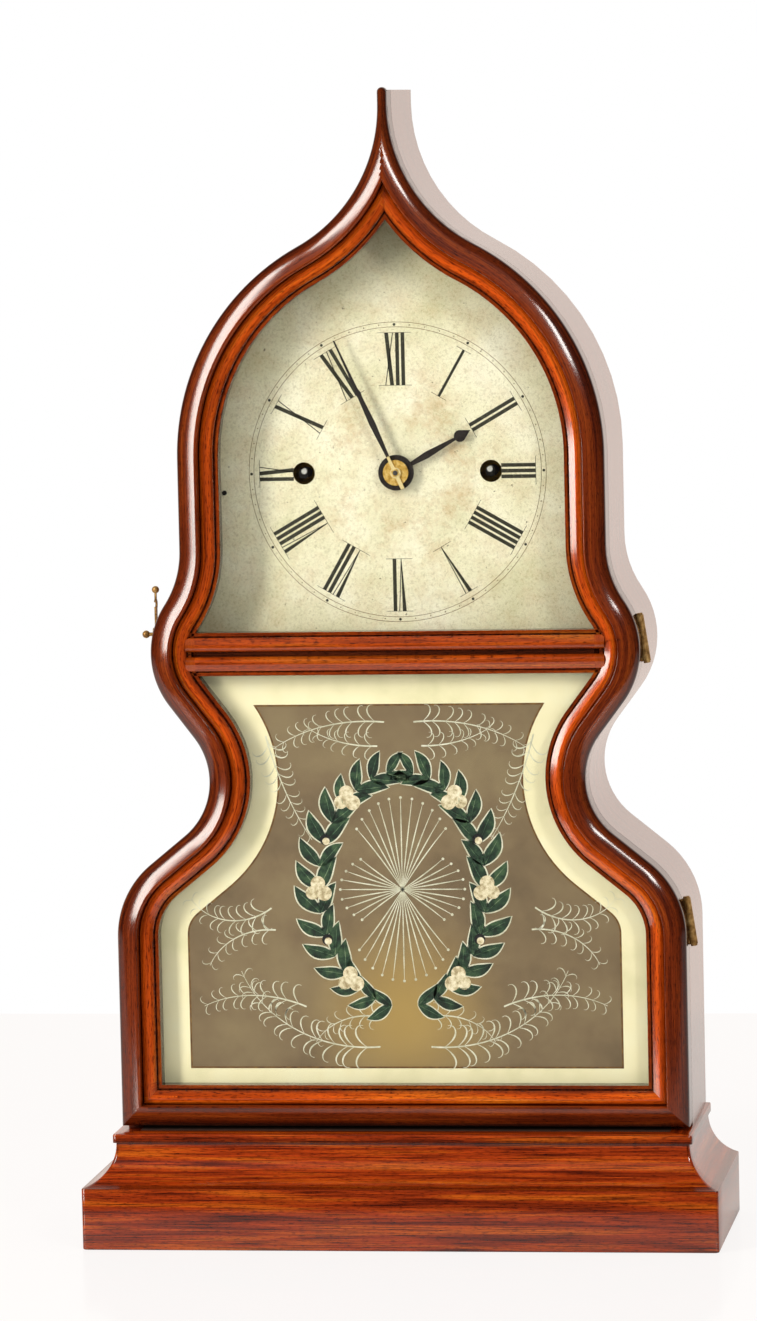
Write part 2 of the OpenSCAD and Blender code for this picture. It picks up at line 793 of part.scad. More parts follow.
module hinge_case_leaves() {
    color(brass) hinge_place() hinge_leaf(1);
}
module hinge_door_leaves() {
    color(brass) hinge_place() hinge_leaf(-1);
}
module hinge_pins() {
    color(brass) hinge_place() {
        cylinder(r = hinge_pin_r, h = leaf_l + 0.6, center = true);
        for (z = [-leaf_l / 2 - 1, leaf_l / 2 + 0.1]) translate([0, 0, z])
            cylinder(r = 1.8, h = 0.9);
    }
}
module case_screws() {
    color(brass) {
        hinge_place() hinge_screw(1, 0);
        latch_screw();
    }
}
module door_screws() {
    color(brass) hinge_place() hinge_screw(-1, 0);
}
hook_len = latch_y - latch_pin_y;
module latch_hook() {
    head_r = 3;
    color(brass) translate([-latch_x, latch_y, latch_z]) rotate([0, -90, 0]) {
        linear_extrude(1) difference() {
            union() {
                circle(r = head_r);
                translate([0, -2]) square([hook_len, 4]);
                translate([hook_len, 0]) circle(r = head_r);
                translate([hook_len + 2, -1]) square([6, 2]);
            }
            circle(r = 1 + fit);
            translate([hook_len, 0]) circle(r = 1.3);
            translate([hook_len - 1.3, -6]) square([2.6, 6]);
        }
        translate([hook_len + 8, 0, 0.5]) sphere(r = 2);
    }
}
module latch_screw() {
    translate([-latch_x, latch_y, latch_z]) rotate([0, -90, 0]) {
        translate([0, 0, -latch_x + lobe_x(0, latch_z) - 4]) cylinder(r = 0.8, h = 8);
        translate([0, 0, -0.4]) cylinder(r = 1, h = 1.6);
        translate([0, 0, 1.2]) cylinder(r = 2.2, h = 1);
        translate([0, 0, lobe_x(0, latch_z - 2) - latch_x + 0.05])
            cylinder(r = 2, h = latch_x - lobe_x(0, latch_z - 2) - 0.35);
    }
}
module latch_pin() {
    color(brass) latch_pin_place() {
        translate([0, 0, -3]) cylinder(r = 1, h = 10.5);
        translate([0, 0, -3.4]) sphere(r = 2.1);
    }
}

dial_low = bar_low - 4.4;
dial_pin_at = [[94.8, dial_z - 10], [lobe_x(15, bar_z), bar_z]];
module dial() {
    color("#e4dfc4") slab(dial_y, dial_back) difference() {
        region(wall + 1, dial_low, big);
        translate(centre_p) circle(r = 5.2);
        for (p = [time_p, strike_p]) translate(p) circle(r = wind_hole_r);
        for (s = [-1, 1], p = dial_pin_at) translate([s * p[0], p[1]]) circle(r = 0.65);
    }
}
module dial_blocks() {
    flank_x = spine[flank_i][1][0] - wall;
    color(pale_wood) both_sides() {
        difference() {
            translate([flank_x - 20, dial_back, dial_z - 25]) cube([20, 12, 30]);
            disc(dial_pin_at[0], 0.6 + seat, dial_y, dial_y + 9);
        }
        difference() {
            slab(dial_back, dial_back + 12) difference() {
                region(wall, bar_z - 9, bar_z + 9);
                region(wall + 14, bar_z - 10, bar_z + 10);
                translate([-big, 0]) square([big, big]);
            }
            disc(dial_pin_at[1], 0.6 + seat, dial_y, dial_y + 9);
        }
    }
}
module dial_pins() {
    color(brass) both_sides() for (p = dial_pin_at) {
        disc(p, 0.6, dial_y - 0.4, dial_y + 8);
        disc(p, 1.3, dial_y - 0.8, dial_y);
    }
}

module plate_blank() {
    difference() {
        translate([-plate_hw, plate_low]) square([2 * plate_hw, plate_top - plate_low]);
        for (s = [-1, 1]) translate([s * 37 - 20, plate_top - 46]) square([40, 32]);
        translate([32, plate_low + 10]) square([28, 26]);
        for (p = pillar_at) translate(p) circle(r = pillar_end_r + fit);
        for (p = [second_p, third_p, escape_p, strike_third_p, fly_p, hammer_p])
            translate(p) circle(r = pivot_r + fit);
        translate(centre_p) circle(r = stout_r + fit);
    }
}
module front_plate() {
    color(brass) {
        slab(plate_y, gap_y) difference() {
            plate_blank();
            for (p = [time_p, strike_p]) translate(p) circle(r = winder_r + fit);
            translate(strike_second_p) circle(r = stout_r + fit);
            translate(anchor_p) circle(r = pivot_r + fit);
        }
        disc(minute_p, stud_r, plate_y - 7.2, plate_y + 0.5);
        disc(count_p, stud_r, plate_y - 4.6, plate_y + 0.5);
    }
}
module back_plate() {
    color(brass) slab(rear_y, rear_back) difference() {
        plate_blank();
        for (p = [time_p, strike_p]) translate(p) circle(r = winder_r - 0.6 + fit);
        translate(strike_second_p) circle(r = pivot_r + fit);
        translate(anchor_p) circle(r = arbor_r + fit);
    }
}
module pillars() {
    color(brass) for (p = pillar_at) {
        disc(p, pillar_r, gap_y, rear_y);
        disc(p, pillar_end_r, plate_y - 2.4, rear_back + 4.6);
    }
}
module pillar_nuts() {
    color(brass) for (p = pillar_at) difference() {
        slab(plate_y - 2, plate_y) translate(p) polygon([for (i = [0:5]) polar(4, 60 * i)]);
        disc(p, pillar_end_r + seat, plate_y - 3, plate_y + 1);
    }
}
module movement_posts() {
    color(pale_wood) for (p = pillar_at) difference() {
        disc(p, 5, rear_back, board_y);
        disc(p, pillar_end_r + fit, rear_back - 1, rear_back + 5);
    }
}

module time_barrel() {
    barrel(time_p, second_p, 1);
}
module strike_barrel() {
    barrel(strike_p, strike_second_p, -1);
}
module time_winder() {
    winder(time_p, 1);
}
module strike_winder() {
    winder(strike_p, -1);
}
module second_wheel() {
    color(brass) {
        arbor(second_p);
        lantern(second_p, second_lantern, great_m, great_y, great_y + great_t,
            gap_phase(time_p, second_p, second_lantern));
        wheel(second_p, second_n, great_m, second_y, second_y + second_t,
            towards(second_p, centre_p), 5);
    }
}
module centre_wheel() {
    color(brass) {
        disc(centre_p, 2, gap_y + 0.3, rear_y - 0.3);
        disc(centre_p, stout_r, minute_disc_y - 1.8, rear_back - 0.2);
        lantern(centre_p, centre_lantern, great_m, second_y, second_y + second_t,
            gap_phase(second_p, centre_p, centre_lantern));
        wheel(centre_p, centre_n, centre_m, centre_y, centre_y + wheel_t,
            towards(centre_p, third_p), 5);
    }
}
module third_wheel() {
    color(brass) {
        arbor(third_p);
        lantern(third_p, third_lantern, centre_m, centre_y, centre_y + wheel_t,
            gap_phase(centre_p, third_p, third_lantern));
        wheel(third_p, third_n, third_m, third_y, third_y + wheel_t,
            towards(third_p, escape_p), 5);
    }
}
module escape_wheel() {
    color(brass) {
        arbor(escape_p, stout_r);
        lantern(escape_p, escape_lantern, third_m, third_y, third_y + wheel_t,
            gap_phase(third_p, escape_p, escape_lantern));
        slab(escape_y, escape_y + wheel_t) translate(escape_p) difference() {
            polygon([for (i = [0:escape_n - 1]) each [for (q = [[0, 0], [0.16, 0.1], [0.3, 2], [0.75, 2]])
                polar(escape_r - q[1], (i + q[0]) * 360 / escape_n)]]);
            for (i = [0:4]) rotate(72 * i) translate([escape_r * 0.55, 0]) circle(r = escape_r * 0.24);
        }
    }
}
// Pallets stay just outside the escape wheel over the whole swing
module anchor() {
    in_r = escape_r + 1.2;
    out_r = escape_r + 4;
    pallet_r = escape_r + 0.7;
    span = 44;
    color(steel) {
        disc(anchor_p, pivot_r, plate_y + 0.3, gap_y + 1);
        disc(anchor_p, arbor_r, gap_y + 0.3, rear_back + 4.4);
        slab(escape_y - 0.5, escape_y + wheel_t + 0.5) translate(escape_p)
            polygon(concat([for (i = [-6:6]) polar(out_r, 90 + span * i / 6)],
                [polar(out_r, 90 + span + 4), polar(pallet_r, 90 + span + 4), polar(pallet_r, 90 + span)],
                [for (i = [6:-1:-6]) polar(in_r, 90 + span * i / 6)],
                [polar(pallet_r, 90 - span), polar(pallet_r, 86 - span), polar(out_r, 86 - span)]));
        disc([0, fork_z], fork_r, rear_back + 2.4, rear_back + 3);
        translate([-fork_r, rear_back + 2.4, fork_z]) cube([2 * fork_r, 2 * fork_r, anchor_p[1] - fork_z]);
        translate([-rod_r - fork_gap - 2 * fork_r, rear_back + 2.4, fork_z - fork_r])
            cube([2 * (rod_r + fork_gap + 2 * fork_r), 2 * fork_r, 2 * fork_r]);
        for (s = [-1, 1]) translate([s * (rod_r + fork_gap + fork_r) - fork_r, rear_back + 2.4, fork_z - fork_r])
            cube([2 * fork_r, 6.6, 2 * fork_r]);
    }
}
module suspension_cock() {
    slot = 1.7;
    color(brass) difference() {
        union() {
            translate([-6, rear_back, anchor_p[1] + 4]) cube([12, 10.5, 9]);
            translate([-14, rear_back, anchor_p[1] + 4]) cube([28, 1.6, 9]);
        }
        translate([-slot / 2, rear_back + 3, anchor_p[1] + 3]) cube([slot, 10, 6.5]);
        translate([0, rear_back - 1, anchor_p[1]]) rotate([-90, 0, 0])
            cylinder(r = arbor_r + 1, h = 8);
    }
}
module pendulum() {
    color(steel) {
        translate([-spring_w / 2, rod_y - 2, spring_low - 2])
            cube([spring_w, 4, spring_top - spring_low + 2]);
        translate([-1.5, rod_y - 2.2, spring_low - 6]) cube([3, 4.4, 6]);
        translate([0, rod_y, bob_z - bob_r - nut_t - 6])
            cylinder(r = rod_r, h = spring_low - 3 - bob_z + bob_r + nut_t + 6);
        translate([0, rod_y, bob_z - bob_r - nut_t - 0.3]) cylinder(r = nut_r, h = nut_t);
    }
}
module bob() {
    color(brass) difference() {
        translate([0, rod_y, bob_z]) rotate([90, 0, 0]) rotate_extrude($fn = 96) intersection() {
            translate([0, bob_sphere - bob_t / 2]) circle(r = bob_sphere, $fn = 720);
            translate([0, bob_t / 2 - bob_sphere]) circle(r = bob_sphere, $fn = 720);
            translate([0, -bob_t]) square([bob_r + 1, 2 * bob_t]);
        }
        translate([0, rod_y, bob_z - bob_r - 2]) cylinder(r = rod_r + seat, h = 2 * bob_r + 4);
    }
}

module minute_pipe() {
    color(brass) difference() {
        union() {
            disc(centre_p, pipe_r, minute_disc_y + 0.5, plate_y - 0.2);
            disc(centre_p, minute_disc_r, minute_disc_y, minute_disc_y + 1);
            slab(minute_disc_y - 1.4, minute_disc_y + 1.2) translate(centre_p)
                rotate(-minute_at) square(pipe_sq, center = true);
            wheel(centre_p, cannon_n, centre_m, plate_y - 3.4, plate_y - 1.6, towards(centre_p, minute_p));
        }
        disc(centre_p, stout_r + fit, minute_disc_y - 3, plate_y + 1);
    }
}
module minute_hand() {
    kink = minute_len * 0.602;
    y0 = minute_disc_y - hand_t;
    color(blued) difference() {
        union() {
            disc(centre_p, 2.9, y0, minute_disc_y);
            slab(y0, minute_disc_y) translate(centre_p) rotate(-minute_at)
                polygon([[-0.75, 8], [-1.7, kink * 0.62], [-1.15, kink * 0.95], [-1.5, kink],
                    [-0.8, kink + 2.5], [-0.4, minute_len], [0.4, minute_len],
                    [0.8, kink + 2.5], [1.5, kink], [1.15, kink * 0.95], [1.7, kink * 0.62],
                    [0.75, 8], [1.1, 0], [1, -9.7], [-1, -9.7], [-1.1, 0]]);
        }
        slab(y0 - 1, minute_disc_y + 1) translate(centre_p) rotate(-minute_at)
            square(pipe_sq + 2 * seat, center = true);
    }
}
module hour_wheel() {
    color(brass) difference() {
        union() {
            disc(centre_p, hour_pipe_r, hour_y, plate_y - 5);
            disc(centre_p, hour_neck_r, hour_y - 1.4, hour_y + 0.5);
            wheel(centre_p, hour_n, hour_m, plate_y - 6.4, plate_y - 5,
                gap_phase(minute_p, centre_p, hour_n));
        }
        disc(centre_p, pipe_r + fit, hour_y - 3, plate_y);
    }
}
module hour_hand() {
    ball = hour_len * 0.86;
    color(blued) difference() {
        union() {
            disc(centre_p, hour_disc_r, hour_y - hour_disc_t, hour_y);
            slab(hour_y - hand_t, hour_y) translate(centre_p) rotate(-hour_at) {
                polygon([[-1, 8], [-1.9, ball * 0.48], [-0.8, ball - 2.5], [0.8, ball - 2.5],
                    [1.9, ball * 0.48], [1, 8]]);
                translate([0, ball]) circle(r = 3.2);
                polygon([[-2.6, ball + 1.8], [0, hour_len], [2.6, ball + 1.8]]);
            }
        }
        disc(centre_p, hour_neck_r + seat, hour_y - 3, hour_y + 1);
    }
}
module minute_wheel() {
    color(brass) difference() {
        union() {
            wheel(minute_p, minute_n, centre_m, plate_y - 3.3, plate_y - 1.7,
                gap_phase(centre_p, minute_p, minute_n));
            wheel(minute_p, hour_pinion_n, hour_m, plate_y - 6.8, plate_y - 3.2,
                towards(minute_p, centre_p));
        }
        disc(minute_p, stud_r + fit, plate_y - 8, plate_y);
    }
}

module strike_second() {
    color(brass) {
        arbor(strike_second_p);
        disc(strike_second_p, stout_r, plate_y - 4.4, gap_y + 1);
        lantern(strike_second_p, second_lantern, great_m, great_y, great_y + great_t,
            gap_phase(strike_p, strike_second_p, second_lantern));
        wheel(strike_second_p, second_n, great_m, second_y, second_y + second_t,
            towards(strike_second_p, strike_third_p));
        for (i = [0:7]) disc(strike_second_p + polar(lift_r, 45 * i + 20), lift_pin_r,
            second_y - 3, second_y + 0.5);
        wheel(strike_second_p, count_pinion_n, centre_m, plate_y - 4.4, plate_y - 1.8,
            towards(strike_second_p, count_p));
    }
}
module strike_third() {
    color(brass) {
        arbor(strike_third_p, stout_r);
        lantern(strike_third_p, strike_lantern, great_m, second_y, second_y + second_t,
            gap_phase(strike_second_p, strike_third_p, strike_lantern));
        wheel(strike_third_p, strike_third_n, third_m, strike_third_y, strike_third_y + wheel_t,
            towards(strike_third_p, fly_p));
    }
}
module fly() {
    color(brass) {
        arbor(fly_p, 1);
        lantern(fly_p, fly_lantern, third_m, strike_third_y, strike_third_y + wheel_t,
            gap_phase(strike_third_p, fly_p, fly_lantern));
        translate([fly_p[0] - fly_r, fly_y, fly_p[1] - 0.4]) cube([2 * fly_r, fly_l, 0.8]);
        disc(fly_p, 2, fly_y, fly_y + fly_l);
    }
}
module count_wheel() {
    color(brass) difference() {
        wheel(count_p, count_n, centre_m, plate_y - 4, plate_y - 2.6,
            gap_phase(strike_second_p, count_p, count_n));
        disc(count_p, stud_r + fit, plate_y - 6, plate_y);
    }
}

head_x = gong_left - hammer_gap - hammer_l;
hammer_foot = [head_x + hammer_l / 2, gong_c[1]];
hammer_reach = norm(hammer_p - hammer_foot);
hammer_lean = towards(hammer_p, hammer_foot) + 90;
tail_to = hammer_p + polar(hammer_tail, towards(hammer_p, strike_second_p));
module hammer() {
    color(steel) {
        arbor(hammer_p, stout_r);
        translate([hammer_p[0], gong_y, hammer_p[1]]) rotate([0, 180 - hammer_lean, 0])
            cylinder(r = hammer_rod_r, h = hammer_reach);
        translate([head_x, gong_y, gong_c[1]]) rotate([0, 90, 0]) cylinder(r = hammer_r, h = hammer_l);
        slab(second_y - 2.6, second_y - 1) translate(hammer_p)
            rotate(towards(hammer_p, strike_second_p)) translate([0, -1]) square([hammer_tail, 2]);
    }
}

// Gong wire: a spiral with a straight tangent run at each end
gong_steps = gong_turns * gong_rings;
function gong_radius(a) = gong_in + gong_pitch * (gong_last - a) / 360;
function gong_dir(a) = let (s = atan(gong_pitch / (2 * PI * gong_radius(a)))) a + 90 + s;
gong_path = let (a0 = gong_last - 360 * gong_turns,
    p0 = gong_c + polar(gong_radius(a0), a0))
    concat([[p0 - polar(gong_tail, gong_dir(a0)), gong_dir(a0)]],
        [for (i = [0:gong_steps]) let (a = a0 + 360 * i / gong_rings)
            [gong_c + polar(gong_radius(a), a), gong_dir(a)]],
        [[gong_end + polar(gong_tail, gong_dir(gong_last)), gong_dir(gong_last)]]);
gong_pts = [for (q = gong_path, j = [0:gong_sides - 1]) let (t = 360 * j / gong_sides + 30,
    side = polar(gong_wire * cos(t), q[1] - 90))
    [q[0][0] + side[0], gong_y + gong_wire * sin(t), q[0][1] + side[1]]];
gong_faces = let (n = gong_sides, last = len(gong_path) - 1) concat(
    [[for (j = [n - 1:-1:0]) j]],
    [for (i = [0:last - 1], j = [0:n - 1]) let (k = (j + 1) % n)
        [i * n + j, i * n + k, (i + 1) * n + k, (i + 1) * n + j]],
    [[for (j = [0:n - 1]) last * n + j]]);
echo(gong_gap_between_turns = gong_pitch - 2 * gong_wire);
module gong() {
    color(steel) polyhedron(points = gong_pts, faces = gong_faces, convexity = 10);
}
module gong_stand() {
    ear_w = 4;
    ear_x = gong_end[0] - gong_tail - ear_w;
    color("#3a3a3c") union() {
        translate([ear_x, gong_y - 3, gong_end[1] - 2.5]) cube([ear_w, board_y - gong_y, 5]);
        translate([ear_x - 10, board_y - 6, gong_end[1] - 14]) cube([24, 6, 28]);
    }
}

plinth_front();
plinth_sides();
cove_front();
cove_sides();
base_back();
case_floor();
glue_blocks();
case_side_left();
case_side_right();
back_board();
back_screws();
stile_left();
stile_right();
bottom_rail();
crossbar();
outer_roll();
upper_band();
lower_band();
upper_glass();
tablet_glass();
glazing_strips();
hinge_case_leaves();
hinge_door_leaves();
hinge_pins();
case_screws();
door_screws();
latch_hook();
latch_pin();
dial();
dial_blocks();
dial_pins();
front_plate();
back_plate();
pillars();
pillar_nuts();
movement_posts();
time_barrel();
time_winder();
second_wheel();
centre_wheel();
third_wheel();
escape_wheel();
anchor();
suspension_cock();
pendulum();
bob();
minute_pipe();
minute_hand();
hour_wheel();
hour_hand();
minute_wheel();
strike_barrel();
strike_winder();
strike_second();
strike_third();
fly();
count_wheel();
hammer();
gong();
gong_stand();
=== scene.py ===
import bpy
import math
import random
from mathutils import Matrix, Vector


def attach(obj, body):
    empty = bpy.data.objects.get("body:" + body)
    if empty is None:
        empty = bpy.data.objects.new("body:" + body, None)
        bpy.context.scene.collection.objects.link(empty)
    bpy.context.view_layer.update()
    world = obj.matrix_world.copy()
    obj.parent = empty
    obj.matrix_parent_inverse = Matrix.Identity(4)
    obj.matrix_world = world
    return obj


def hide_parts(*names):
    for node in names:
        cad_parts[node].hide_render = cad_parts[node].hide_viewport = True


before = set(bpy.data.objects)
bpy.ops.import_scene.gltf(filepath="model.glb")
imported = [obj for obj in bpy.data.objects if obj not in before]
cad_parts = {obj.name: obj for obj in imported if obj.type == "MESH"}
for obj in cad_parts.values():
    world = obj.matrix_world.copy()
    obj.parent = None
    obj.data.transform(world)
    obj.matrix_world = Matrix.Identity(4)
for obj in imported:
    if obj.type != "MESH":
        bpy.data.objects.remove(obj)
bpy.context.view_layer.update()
mm = 0.001
random.seed(24)

# Camera, at the photograph's place
viewPoint = {"place": (471.38, -3252.83, 611.61), "turn": 8.469, "tilt": -5.193, "roll": 1.283,
             "imageWidth": 757, "focalPixels": 6092.1, "sensor": 36.0}


def placeCamera(look):
    data = bpy.data.cameras.new("photoCamera")
    data.sensor_fit = "HORIZONTAL"
    data.sensor_width = look["sensor"]
    data.lens = look["focalPixels"] / look["imageWidth"] * look["sensor"]
    data.clip_end = 30
    camera = bpy.data.objects.new("photoCamera", data)
    bpy.context.scene.collection.objects.link(camera)
    turned = (Matrix.Rotation(math.radians(look["turn"]), 4, "Z")
              @ Matrix.Rotation(math.radians(look["tilt"]), 4, "X")
              @ Matrix.Rotation(math.radians(look["roll"]), 4, "Y")
              @ Matrix.Rotation(math.radians(90), 4, "X"))
    camera.matrix_world = Matrix.Translation(Vector(look["place"]) * mm) @ turned
    bpy.context.scene.camera = camera


placeCamera(viewPoint)
bpy.context.scene.view_settings.view_transform = "Standard"
print("camera placed")


# Small helpers for colour, nodes and meshes
def linear(hexColour):
    parts = [int(hexColour[i:i + 2], 16) / 255 for i in (1, 3, 5)]
    return tuple(p / 12.92 if p <= 0.04045 else ((p + 0.055) / 1.055) ** 2.4 for p in parts) + (1,)


def addNode(tree, kind, values=None, links=None, stops=None, **settings):
    node = tree.nodes.new("ShaderNode" + kind)
    for name, value in settings.items():
        setattr(node, name, value)
    for name, value in (values or {}).items():
        node.inputs[name].default_value = value
    for name, source in (links or {}).items():
        tree.links.new(source, node.inputs[name])
    if stops:
        ramp = node.color_ramp.elements
        while len(ramp) < len(stops):
            ramp.new(0.5)
        for element, (place, colour) in zip(ramp, stops):
            element.position = place
            element.color = linear(colour)
    return node


def newMaterial(name):
    material = bpy.data.materials.new(name)
    material.use_nodes = True
    material.node_tree.nodes.clear()
    return material, material.node_tree


# Parts of shaders that the finishes share: each gives the socket that the next one reads
def addNoise(tree, where, size, detail, roughness=0.5):
    values = {"Scale": 1 / (size * mm), "Detail": detail, "Roughness": roughness}
    return addNode(tree, "TexNoise", values, {"Vector": where}).outputs["Fac"]


def addRamp(tree, value, stops):
    return addNode(tree, "ValToRGB", links={"Fac": value}, stops=stops).outputs["Color"]


def addRange(tree, value, before, after, **settings):
    values = {"From Min": before[0], "From Max": before[1], "To Min": after[0], "To Max": after[1]}
    return addNode(tree, "MapRange", values, {"Value": value}, **settings).outputs[0]


def addProduct(tree, first, second):
    return addNode(tree, "Math", links={0: first, 1: second}, operation="MULTIPLY").outputs[0]


def addDistance(tree, where, x, z):
    return addNode(tree, "VectorMath", {1: (x * mm, 0, z * mm)}, {0: where},
                   operation="DISTANCE").outputs["Value"]


def addCover(tree, share, below, colour):
    return addNode(tree, "Mix", {7: linear(colour)}, {0: share, 6: below}, data_type="RGBA").outputs[2]


def addStain(tree, share, below, stain):
    return addNode(tree, "Mix", {0: share}, {6: below, 7: stain}, data_type="RGBA",
                   blend_type="MULTIPLY").outputs[2]


def addBump(tree, height, strength, depth):
    return addNode(tree, "Bump", {"Strength": strength, "Distance": depth * mm},
                   {"Height": height}).outputs[0]


def closeMaterial(material, shader):
    addNode(material.node_tree, "OutputMaterial", links={"Surface": shader.outputs[0]})
    return material


def clearSelection():
    if bpy.context.object and bpy.context.object.mode != "OBJECT":
        bpy.ops.object.mode_set(mode="OBJECT")
    bpy.ops.object.select_all(action="DESELECT")


def work(piece):
    clearSelection()
    bpy.context.view_layer.objects.active = piece
    piece.select_set(True)


def editAll(piece):
    work(piece)
    bpy.ops.object.mode_set(mode="EDIT")
    bpy.ops.mesh.select_all(action="SELECT")


def joinPieces(parts, name):
    work(parts[0])
    for part in parts[1:]:
        part.select_set(True)
    bpy.ops.object.transform_apply(location=True, rotation=True, scale=True)
    bpy.ops.object.join()
    parts[0].name = name
    parts[0].data.name = name
    return parts[0]


def applyModifier(piece, kind, **settings):
    work(piece)
    modifier = piece.modifiers.new(kind.title(), kind)
    for name, value in settings.items():
        setattr(modifier, name, value)
    bpy.ops.object.modifier_apply(modifier=modifier.name)


def copyPiece(template, matrix):
    piece = template.copy()
    piece.data = template.data.copy()
    bpy.context.scene.collection.objects.link(piece)
    piece.matrix_world = matrix
    return piece


def smoothCopy(nodeName):
    # A copy of a solid's mesh with its loose triangles merged
    piece = bpy.data.objects.new(nodeName + "Copy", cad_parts[nodeName].data.copy())
    bpy.context.scene.collection.objects.link(piece)
    editAll(piece)
    bpy.ops.mesh.remove_doubles(threshold=0.0005 * mm)
    bpy.ops.object.mode_set(mode="OBJECT")
    return piece


def finishPiece(piece, name, body, finish, nodes=(), smooth=30):
    piece.name = name
    work(piece)
    bpy.ops.object.transform_apply(location=True, rotation=True, scale=True)
    if smooth:
        bpy.ops.object.shade_smooth_by_angle(angle=math.radians(smooth))
    piece.data.materials.clear()
    piece.data.materials.append(finish)
    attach(piece, body)
    if nodes:
        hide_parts(*nodes)
    return piece


# Outline of the case, the same tangent arcs as the solids: kind 1 hollow, -1 round, 0 straight
caseShape = {"top": 622.0, "faceY": -27.5, "doorFoot": 62.6, "halfFoot": 154.847,
             "run": [(-1, 2.6, 90), (0, 6.3, 0), (1, 85, 62), (-1, 128, 62), (0, 49, 0), (1, 53, 34),
                     (-1, 47, 71), (0, 22, 0), (1, 38.5, 88), (0, 25, 0), (-1, 51, 51),
                     (0, 103.2, 0)],
             "waist": 8, "arcStep": 4.0, "spinStep": 2.0, "extrudeStep": 8}


def layOutline(shape):
    pieces, start, lean, length = [], Vector((0, shape["top"])), 90.0, 0.0
    for kind, size, turn in shape["run"]:
        out = Vector((math.cos(math.radians(lean)), math.sin(math.radians(lean))))
        piece = {"kind": kind, "size": size, "turn": turn, "start": start, "lean": lean,
                 "from": length}
        if kind == 0:
            end = start + size * Vector((out.y, -out.x))
            piece["length"] = size
        else:
            piece["centre"] = start + kind * size * out
            last = math.radians(lean + kind * turn)
            end = piece["centre"] - kind * size * Vector((math.cos(last), math.sin(last)))
            piece["length"] = size * math.radians(turn)
        pieces.append(piece)
        start, lean, length = end, lean + kind * turn, length + piece["length"]
    return pieces


outline = layOutline(caseShape)


def outlineNormal(piece, share):
    lean = math.radians(piece["lean"] + piece["kind"] * piece["turn"] * share)
    return Vector((math.cos(lean), math.sin(lean)))


def outlineSpot(piece, share, inset=0.0):
    normal = outlineNormal(piece, share)
    if piece["kind"] == 0:
        spot = piece["start"] + piece["size"] * share * Vector((normal.y, -normal.x))
    else:
        spot = piece["centre"] - piece["kind"] * piece["size"] * normal
    return spot - inset * normal


def runAndInset(x, z):
    # Length along the outline and depth inside it, for a point in millimetres
    best = None
    for piece in outline:
        if piece["kind"] == 0:
            normal = outlineNormal(piece, 0)
            along = (Vector((x, z)) - piece["start"]).dot(Vector((normal.y, -normal.x)))
            share = along / piece["size"]
        else:
            ray = -piece["kind"] * (Vector((x, z)) - piece["centre"])
            angle = math.degrees(math.atan2(ray.y, ray.x)) - piece["lean"]
            share = piece["kind"] * ((angle + 180) % 360 - 180) / piece["turn"]
        share = min(1.0, max(0.0, share))
        gap = Vector((x, z)) - outlineSpot(piece, share)
        if best is None or gap.length < best[0]:
            best = (gap.length, piece["from"] + share * piece["length"],
                    -gap.dot(outlineNormal(piece, share)))
    return best[1], best[2]


def insetPath(inset, low, high, widen=0.0):
    # Points down the right side of the outline between two heights, set in, and set in a little
    # more by the time the hip is reached
    waist, after = outline[caseShape["waist"]:caseShape["waist"] + 2]
    waistFrom, waistTo = waist["from"], after["from"]
    points = []
    for piece in outline:
        count = 1 if piece["kind"] == 0 else max(2, int(piece["turn"] / caseShape["arcStep"]))
        for i in range(count):
            run = piece["from"] + piece["length"] * i / count
            extra = widen * min(1, max(0, (run - waistFrom) / (waistTo - waistFrom)))
            points.append(outlineSpot(piece, i / count, inset + extra))
    points.append(Vector((caseShape["halfFoot"] - inset - widen, -1.0)))
    kept = [p for p in points if p.x > 0 and low < p.y < high]
    for edge, spot in ((low, len(kept)), (high, 0)):
        for here, there in zip(points, points[1:]):
            if here.y >= edge > there.y and here.x > 0:
                kept.insert(spot, here.lerp(there, (here.y - edge) / (here.y - there.y)))
                break
    return kept


def drawChain(points, name):
    # A profile drawn as by hand: one point, extruded from corner to corner, then closed
    clearSelection()
    bpy.ops.mesh.primitive_plane_add(size=mm)
    piece = bpy.context.object
    piece.name = name
    bpy.ops.object.mode_set(mode="EDIT")
    bpy.ops.mesh.select_mode(type="VERT")
    bpy.ops.mesh.merge(type="CENTER")
    bpy.ops.transform.translate(value=points[0])
    for here, there in zip(points, points[1:]):
        bpy.ops.mesh.extrude_region_move(TRANSFORM_OT_translate={"value": there - here})
    bpy.ops.mesh.select_all(action="DESELECT")
    bpy.ops.object.mode_set(mode="OBJECT")
    piece.data.vertices[0].select = True
    piece.data.vertices[len(points) - 1].select = True
    bpy.ops.object.mode_set(mode="EDIT")
    bpy.ops.mesh.select_mode(type="VERT")
    bpy.ops.mesh.edge_face_add()
    bpy.ops.mesh.select_all(action="SELECT")
    return piece


def extrudeBy(value):
    bpy.ops.mesh.extrude_region_move(TRANSFORM_OT_translate={"value": Vector(value) * mm})


def carryAlong(pieces):
    # The selected profile is carried down the outline by extrude and spin
    for piece in pieces:
        if piece["kind"] == 0:
            normal = outlineNormal(piece, 0)
            steps = max(1, round(piece["size"] / caseShape["extrudeStep"]))
            for _ in range(steps):
                extrudeBy((normal.y * piece["size"] / steps, 0, -normal.x * piece["size"] / steps))
        else:
            centre = piece["centre"]
            bpy.ops.mesh.spin(steps=max(4, round(piece["turn"] / caseShape["spinStep"])),
                              angle=math.radians(piece["turn"]),
                              center=(centre.x * mm, 0, centre.y * mm), axis=(0, piece["kind"], 0))


def cutAway(place, normal, fill=True):
    bpy.ops.mesh.select_all(action="SELECT")
    bpy.ops.mesh.bisect(plane_co=Vector(place) * mm, plane_no=normal, use_fill=fill, clear_outer=True)


